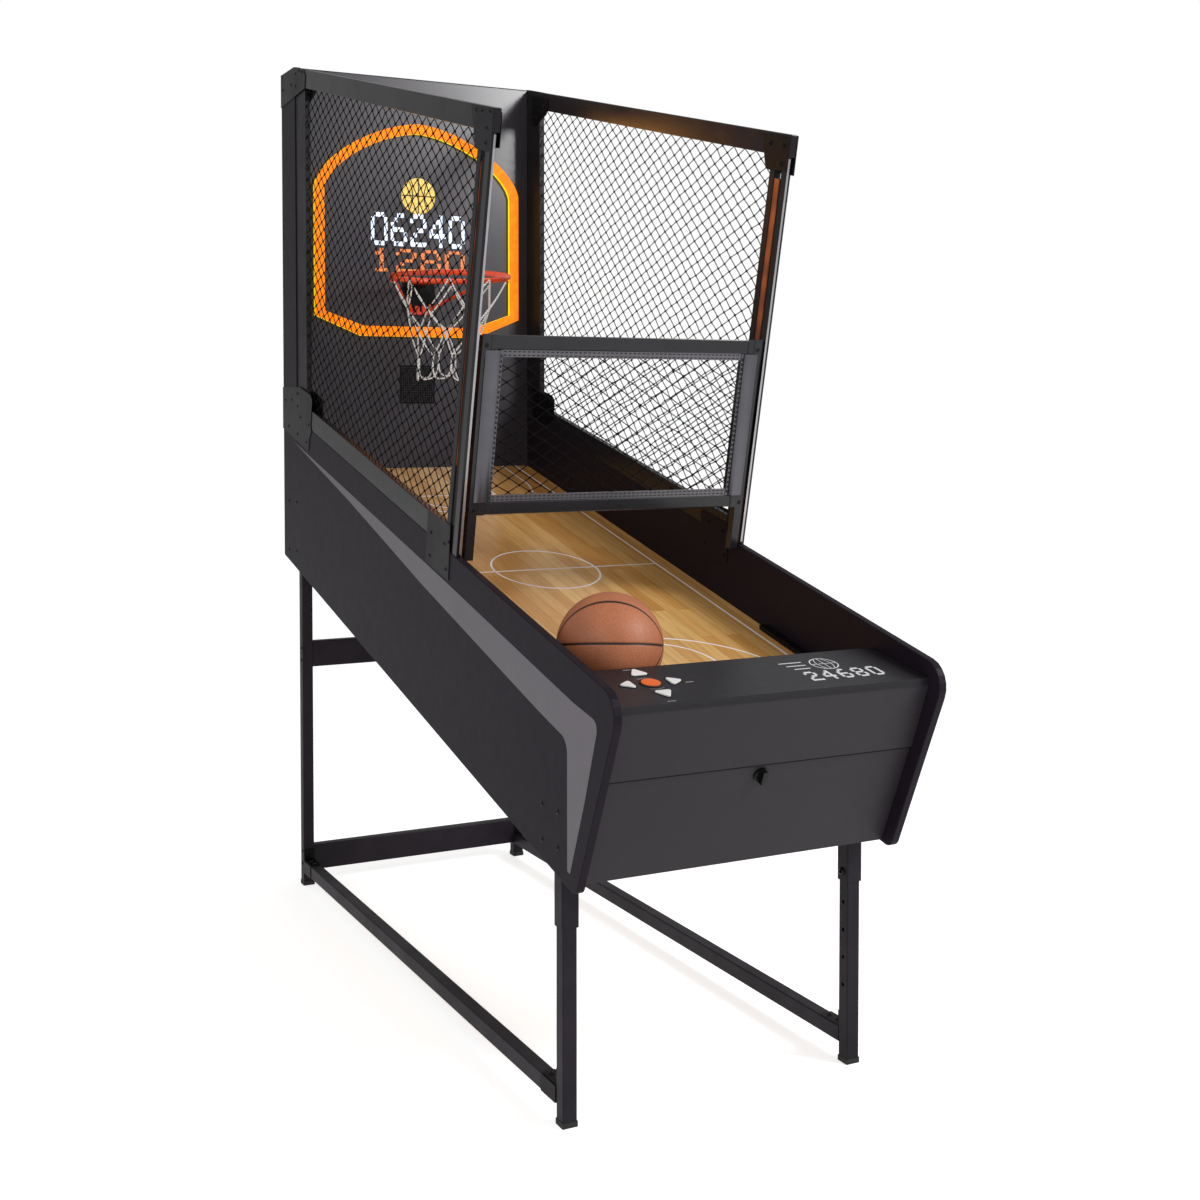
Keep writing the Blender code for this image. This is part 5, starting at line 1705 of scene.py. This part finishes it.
@dataclass
class Catcher:
    """Front net frame: rails, drawn side profiles, stitched webbing and net."""

    palette: Palette
    at: tuple[float, float] = (-0.4228, 1.588)
    lean: float = -0.2205
    low: tuple[float, float] = (1.189, 1.217)
    top: tuple[float, float] = (1.556, 1.588)
    inner: float = 0.3065
    webs: tuple[tuple[float, float], ...] = ((1.5395, 1.5555), (1.2175, 1.2325))
    joint_x: tuple[float, float] = (0.3210, 0.3372)
    end_x: tuple[float, float] = (0.3376, 0.3586)
    screw_x: float = 0.3480
    net_from: float = 1.4

    @property
    def up(self) -> Array:
        """Unit vector up the frame."""
        return np.array([0.0, self.lean, 1.0]) / math.hypot(self.lean, 1.0)

    @property
    def out(self) -> Array:
        """Unit vector out of the frame's front."""
        return np.array([0.0, -1.0, self.lean]) / math.hypot(self.lean, 1.0)

    def point(self, x: float, z: float) -> Array:
        """Point of the front face at a place in X and a height."""
        return np.array([x, self.at[0] + self.lean * (z - self.at[1]), z])

    def bar(self, x: tuple[float, float], z: tuple[float, float], lift: tuple[float, float],
            corner: float = 0.0008) -> Mesh:
        """Bar in the frame's plane: a rounded rectangle carried from low to high.

        Args:
            x: Least and greatest X.
            z: Heights of its ends.
            lift: How far its back and front stand out of the frame's front.
            corner: Radius of its edges.

        Returns:
            Vertices and faces.
        """
        profile = rounded_outline([(x[0], lift[0]), (x[1], lift[0]), (x[1], lift[1]), (x[0], lift[1])],
                                  corner, 2)
        path = np.stack([self.point(0.0, z[0]), self.point(0.0, z[1])])
        across = np.broadcast_to(np.array([1.0, 0.0, 0.0]), path.shape)
        return carry(profile, path, across, np.broadcast_to(self.out, path.shape))

    def sleeve(self, side: int) -> Mesh:
        """Satin sleeve over a side bar: a flat hem of 6 mm, then half an ellipse, carried up the frame.

        Args:
            side: -1 for left, 1 for right.

        Returns:
            Vertices and faces.
        """
        turn = np.linspace(0.0, math.pi, 13)
        middle, half = self.inner + 0.0250, 0.0185
        bulge = np.stack([middle - half * np.cos(turn), 0.0003 + 0.0062 * np.sin(turn) ** 0.8], axis=1)
        hem = np.array([[self.inner, -0.0037], [self.inner, -0.0012], [self.inner + 0.0055, -0.0012]])
        end = np.array([[self.end_x[0], 0.0002], [self.end_x[0], -0.0037]])
        profile = np.concatenate([hem, bulge, end]) * np.array([side, 1.0])
        profile = profile[::-1] if side > 0 else profile
        path = np.stack([self.point(0.0, self.low[1] + 0.001), self.point(0.0, self.top[0] - 0.001)])
        across = np.broadcast_to(np.array([1.0, 0.0, 0.0]), path.shape)
        return carry(profile, path, across, np.broadcast_to(self.out, path.shape))

    def stitches(self, start: Array, end: Array, pitch: float = 0.0115) -> Mesh:
        """Row of stitches: short rounded bars at an even pitch between two points.

        Args:
            start: Where the row begins.
            end: Where it ends.
            pitch: Distance from one stitch to the next.

        Returns:
            Vertices and faces.
        """
        run = end - start
        length = np.linalg.norm(run)
        run = run / length
        count = int(length / pitch)
        places = start + run * (np.arange(count)[:, None] + 0.5) * pitch
        cell = rectangle(0.0034, 0.0013, 0.0011, 3)
        basis = np.stack([run, np.cross(self.out, run), self.out])
        return repeated(prism(cell, Axis.Z, 0.0, 0.0005), places, basis)

    def build(self) -> None:
        """Dress the profiles, then add webbing, stitches, connectors, screws and net."""
        dress(self.palette.rail_gloss, "catcher_side_left", "catcher_side_right", "catcher_top_rail",
              "catcher_bottom_rail")
        tape, thread, joint, screws, sleeve = [], [], [], [], []
        reach = self.inner + 0.0005
        for low, high in self.webs:
            tape.append(self.bar((-reach, reach), (low, high), (-0.0060, -0.0025)))
            for z in (low + 0.004, high - 0.004):
                a = self.point(-reach, z) - self.out * 0.0025
                thread.append(self.stitches(a, a + np.array([2 * reach, 0.0, 0.0])))
        for side in (-1, 1):
            sleeve.append(self.sleeve(side))
            a = self.point(side * (self.inner + 0.0030), self.low[1] + 0.004) - self.out * 0.0005
            b = self.point(side * (self.inner + 0.0030), self.top[0] - 0.004) - self.out * 0.0005
            thread.append(self.stitches(a, b))
            x = sorted(side * value for value in self.joint_x)
            joint.append(self.bar(tuple(x), (self.low[0] - 0.001, self.low[1] + 0.003), (-0.004, 0.0014)))
            joint.append(self.bar(tuple(x), (self.top[0] - 0.004, self.top[1] + 0.001), (-0.004, 0.0014)))
            x = sorted(side * value for value in self.end_x)
            joint.append(self.bar(tuple(x), (self.top[0] - 0.018, self.top[1] + 0.0012), (-0.004, 0.0018)))
            for z in (self.top[0] + 0.009, self.low[0] + 0.010):
                lift = 0.0018 if z > self.net_from else 0.0
                screws.append(self.point(side * self.screw_x, z) + self.out * lift)
        piece("catcher_sleeves", merged(*sleeve), self.palette.sleeve, Body.CABINET)
        piece("catcher_webbing", merged(*tape), self.palette.tape, Body.CABINET)
        piece("catcher_stitches", merged(*thread), self.palette.thread, Body.CABINET)
        piece("catcher_joints", merged(*joint), self.palette.rail_gloss, Body.CABINET)
        basis = np.stack([np.array([1.0, 0.0, 0.0]), self.up, self.out])
        heads = repeated(bolt_head(0.0052, 0.0018), np.array(screws), basis)
        piece("catcher_screws", heads, self.palette.bolt, Body.CABINET)
        foot, head = self.low[1] - self.net_from, self.top[0] - self.net_from
        outline = np.array([[-self.inner, foot], [self.inner, foot], [self.inner, head],
                            [-self.inner, head]])
        outline[:, 1] *= math.hypot(self.lean, 1.0)
        origin = self.point(0.0, self.net_from) - self.out * 0.0085
        net = Netting(origin, np.array([1.0, 0.0, 0.0]), self.up, -self.out, seed=11)
        piece("catcher_netting", net.build(outline), self.palette.cord, Body.CABINET,
              ("catcher_net",), 60.0)


@dataclass
class Ball:
    """Basketball at rest on the court."""

    palette: Palette
    radius: float = 0.1105
    channel: float = 0.0035
    depth: float = 0.0011
    rows: int = 160
    columns: int = 320
    yaw: float = 27.3
    dip: float = 11.0

    def build(self) -> None:
        """Sphere whose channels are pressed in where a point is close to one of four seam curves."""
        low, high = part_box("ball")
        centre = (np.array(low) + np.array(high)) / 2
        rows, columns = self.rows, self.columns
        v, u = np.meshgrid(np.linspace(0.002, math.pi - 0.002, rows), np.arange(columns) * TAU / columns,
                           indexing="ij")
        unit = np.stack([np.sin(v) * np.cos(u), np.sin(v) * np.sin(u), np.cos(v)], axis=-1)
        seam = self.seams(unit)
        radius = self.radius - self.depth * seam
        turn = self.turn()
        verts = (unit @ turn.T * radius[..., None] + centre).reshape(-1, 3)
        index = np.arange(rows * columns).reshape(rows, columns)
        quads = np.stack([index[:-1], index[1:], np.roll(index[1:], -1, axis=1),
                          np.roll(index[:-1], -1, axis=1)], axis=-1)
        faces = quads.reshape(-1, 4).tolist() + [index[0].tolist(), index[-1, ::-1].tolist()]
        obj = piece("ball_with_channels", (verts, faces), self.palette.ball, Body.BALL,
                    ("ball",), 80.0)
        layer = obj.data.attributes.new("seam", "FLOAT", "POINT")
        layer.data.foreach_set("value", seam.ravel().astype(np.float32))

    def turn(self) -> Array:
        """Rotation that carries the ball's own right, front and down axes to their places."""
        yaw, dip = math.radians(self.yaw), math.radians(self.dip)
        right = np.array([math.cos(yaw), -math.sin(yaw), 0.0])
        front = np.array([-math.sin(yaw) * math.cos(dip), -math.cos(yaw) * math.cos(dip), math.sin(dip)])
        return np.stack([right, front, np.cross(right, front)], axis=1)

    def seams(self, unit: Array) -> Array:
        """How far into a channel each point is, 0 to 1.

        Two channels are great circles, and two are loops round the front and back where the
        distance from the middle plane grows as a power of the sine of the turn.

        Args:
            unit: Points of the unit sphere in the ball's own axes.

        Returns:
            One value for each point.
        """
        x, y, z = unit[..., 0], unit[..., 1], unit[..., 2]
        sine = z ** 2 / (x ** 2 + z ** 2 + 1e-6)
        bow = np.abs(np.abs(y) - 0.62 * (sine + 0.02) ** 0.285)
        distance = np.minimum(np.minimum(np.abs(y), np.abs(z)), bow) * self.radius
        return np.clip((self.channel - distance) / (self.channel * 0.45), 0.0, 1.0)


@dataclass
class Studio:
    """Pale floor, soft lights, white surroundings and the camera."""

    eye: tuple[float, float, float] = (-1.6924, -3.6157, 1.4345)
    yaw: float = 26.882
    pitch: float = -2.0
    lens: float = 47.624
    shift_y: float = -0.1162
    room: float = 0.42
    floor_glow: float = 0.30
    floor_seen: float = 0.66
    floor_half: float = 20.0

    def build(self) -> None:
        """Set the room and the camera."""
        scene = bpy.context.scene
        scene.view_settings.view_transform = "Standard"
        world = bpy.data.worlds.new("white_room")
        world.use_nodes = True
        tree = world.node_tree
        seen = add_node(tree, "ShaderNodeLightPath")
        shade = add_node(tree, "ShaderNodeMapRange", {"To Min": self.room, "To Max": 1.0},
                         {"Value": seen.outputs["Is Camera Ray"]})
        tree.nodes["Background"].inputs["Color"].default_value = (1.0, 1.0, 1.0, 1.0)
        tree.links.new(shade.outputs["Result"], tree.nodes["Background"].inputs["Strength"])
        scene.world = world
        self.floor()
        self.light("key", (2.6, -3.2, 3.4), (0.0, -0.2, 1.1), 1.3, 130.0, (1.0, 1.0, 1.0))
        self.light("fill", (-3.4, -2.4, 3.0), (0.0, 0.0, 1.2), 3.0, 38.0, (1.0, 1.0, 1.0))
        self.light("board_glow", (0.0, 0.90, 2.16), (0.0, -0.8, 1.95), 0.34, 1.5, (1.0, 0.42, 0.08))
        data = bpy.data.cameras.new("camera")
        data.lens, data.sensor_width = self.lens, 36.0
        data.shift_y = self.shift_y
        data.clip_end = 100.0
        camera = bpy.data.objects.new("camera", data)
        camera.location = self.eye
        camera.rotation_euler = (math.radians(90.0 + self.pitch), 0.0, -math.radians(self.yaw))
        scene.collection.objects.link(camera)
        scene.camera = camera

    def floor(self) -> None:
        """Large pale floor, slightly lit so that it meets the white room."""
        half = self.floor_half
        verts = np.array([[-half, -half, 0.0], [half, -half, 0.0], [half, half, 0.0], [-half, half, 0.0]])
        mesh = bpy.data.meshes.new("floor")
        mesh.from_pydata(verts.tolist(), [], [[0, 1, 2, 3]])
        material = bpy.data.materials.new("floor_pale_matt")
        material.use_nodes = True
        shader = material.node_tree.nodes["Principled BSDF"]
        shader.inputs["Base Color"].default_value = linear_rgba("EDEDED")
        shader.inputs["Roughness"].default_value = 0.9
        shader.inputs["Specular IOR Level"].default_value = 0.1
        shader.inputs["Emission Color"].default_value = (1.0, 1.0, 1.0, 1.0)
        seen = add_node(material.node_tree, "ShaderNodeLightPath")
        glow = add_node(material.node_tree, "ShaderNodeMapRange",
                        {"To Min": self.floor_glow, "To Max": self.floor_seen},
                        {"Value": seen.outputs["Is Camera Ray"]})
        material.node_tree.links.new(glow.outputs["Result"], shader.inputs["Emission Strength"])
        mesh.materials.append(material)
        floor = bpy.data.objects.new("floor", mesh)
        floor.location = (0.0, 0.0, -0.0005)
        bpy.context.scene.collection.objects.link(floor)

    def light(self, name: str, at: tuple[float, float, float], to: tuple[float, float, float],
              size: float, power: float, tint: tuple[float, float, float]) -> None:
        """Square soft light aimed at a point.

        Args:
            name: Object name.
            at: Where it stands.
            to: What it points at.
            size: Side of the square.
            power: Watts.
            tint: Linear colour.
        """
        data = bpy.data.lights.new(name, "AREA")
        data.size, data.energy, data.color = size, power, tint
        lamp = bpy.data.objects.new(name, data)
        lamp.visible_camera = False
        lamp.location = at
        way = np.array(to) - np.array(at)
        way = way / np.linalg.norm(way)
        lamp.rotation_euler = (math.acos(-way[2]), 0.0, math.atan2(way[1], way[0]) - math.pi / 2)
        bpy.context.scene.collection.objects.link(lamp)


def main() -> None:
    """Build the studio and every sub-assembly in order."""
    logging.basicConfig(level=logging.INFO, format="%(message)s")
    Studio().build()
    palette = Palette()
    for part in (BaseFrame(palette), Trough(palette), Deck(palette), Front(palette), BackBox(palette),
                 Hoop(palette), Cage(palette), Catcher(palette), Ball(palette)):
        part.build()
        LOG.info("%s built", type(part).__name__)


if __name__ == "__main__":
    main()
    bpy.context.view_layer.update()
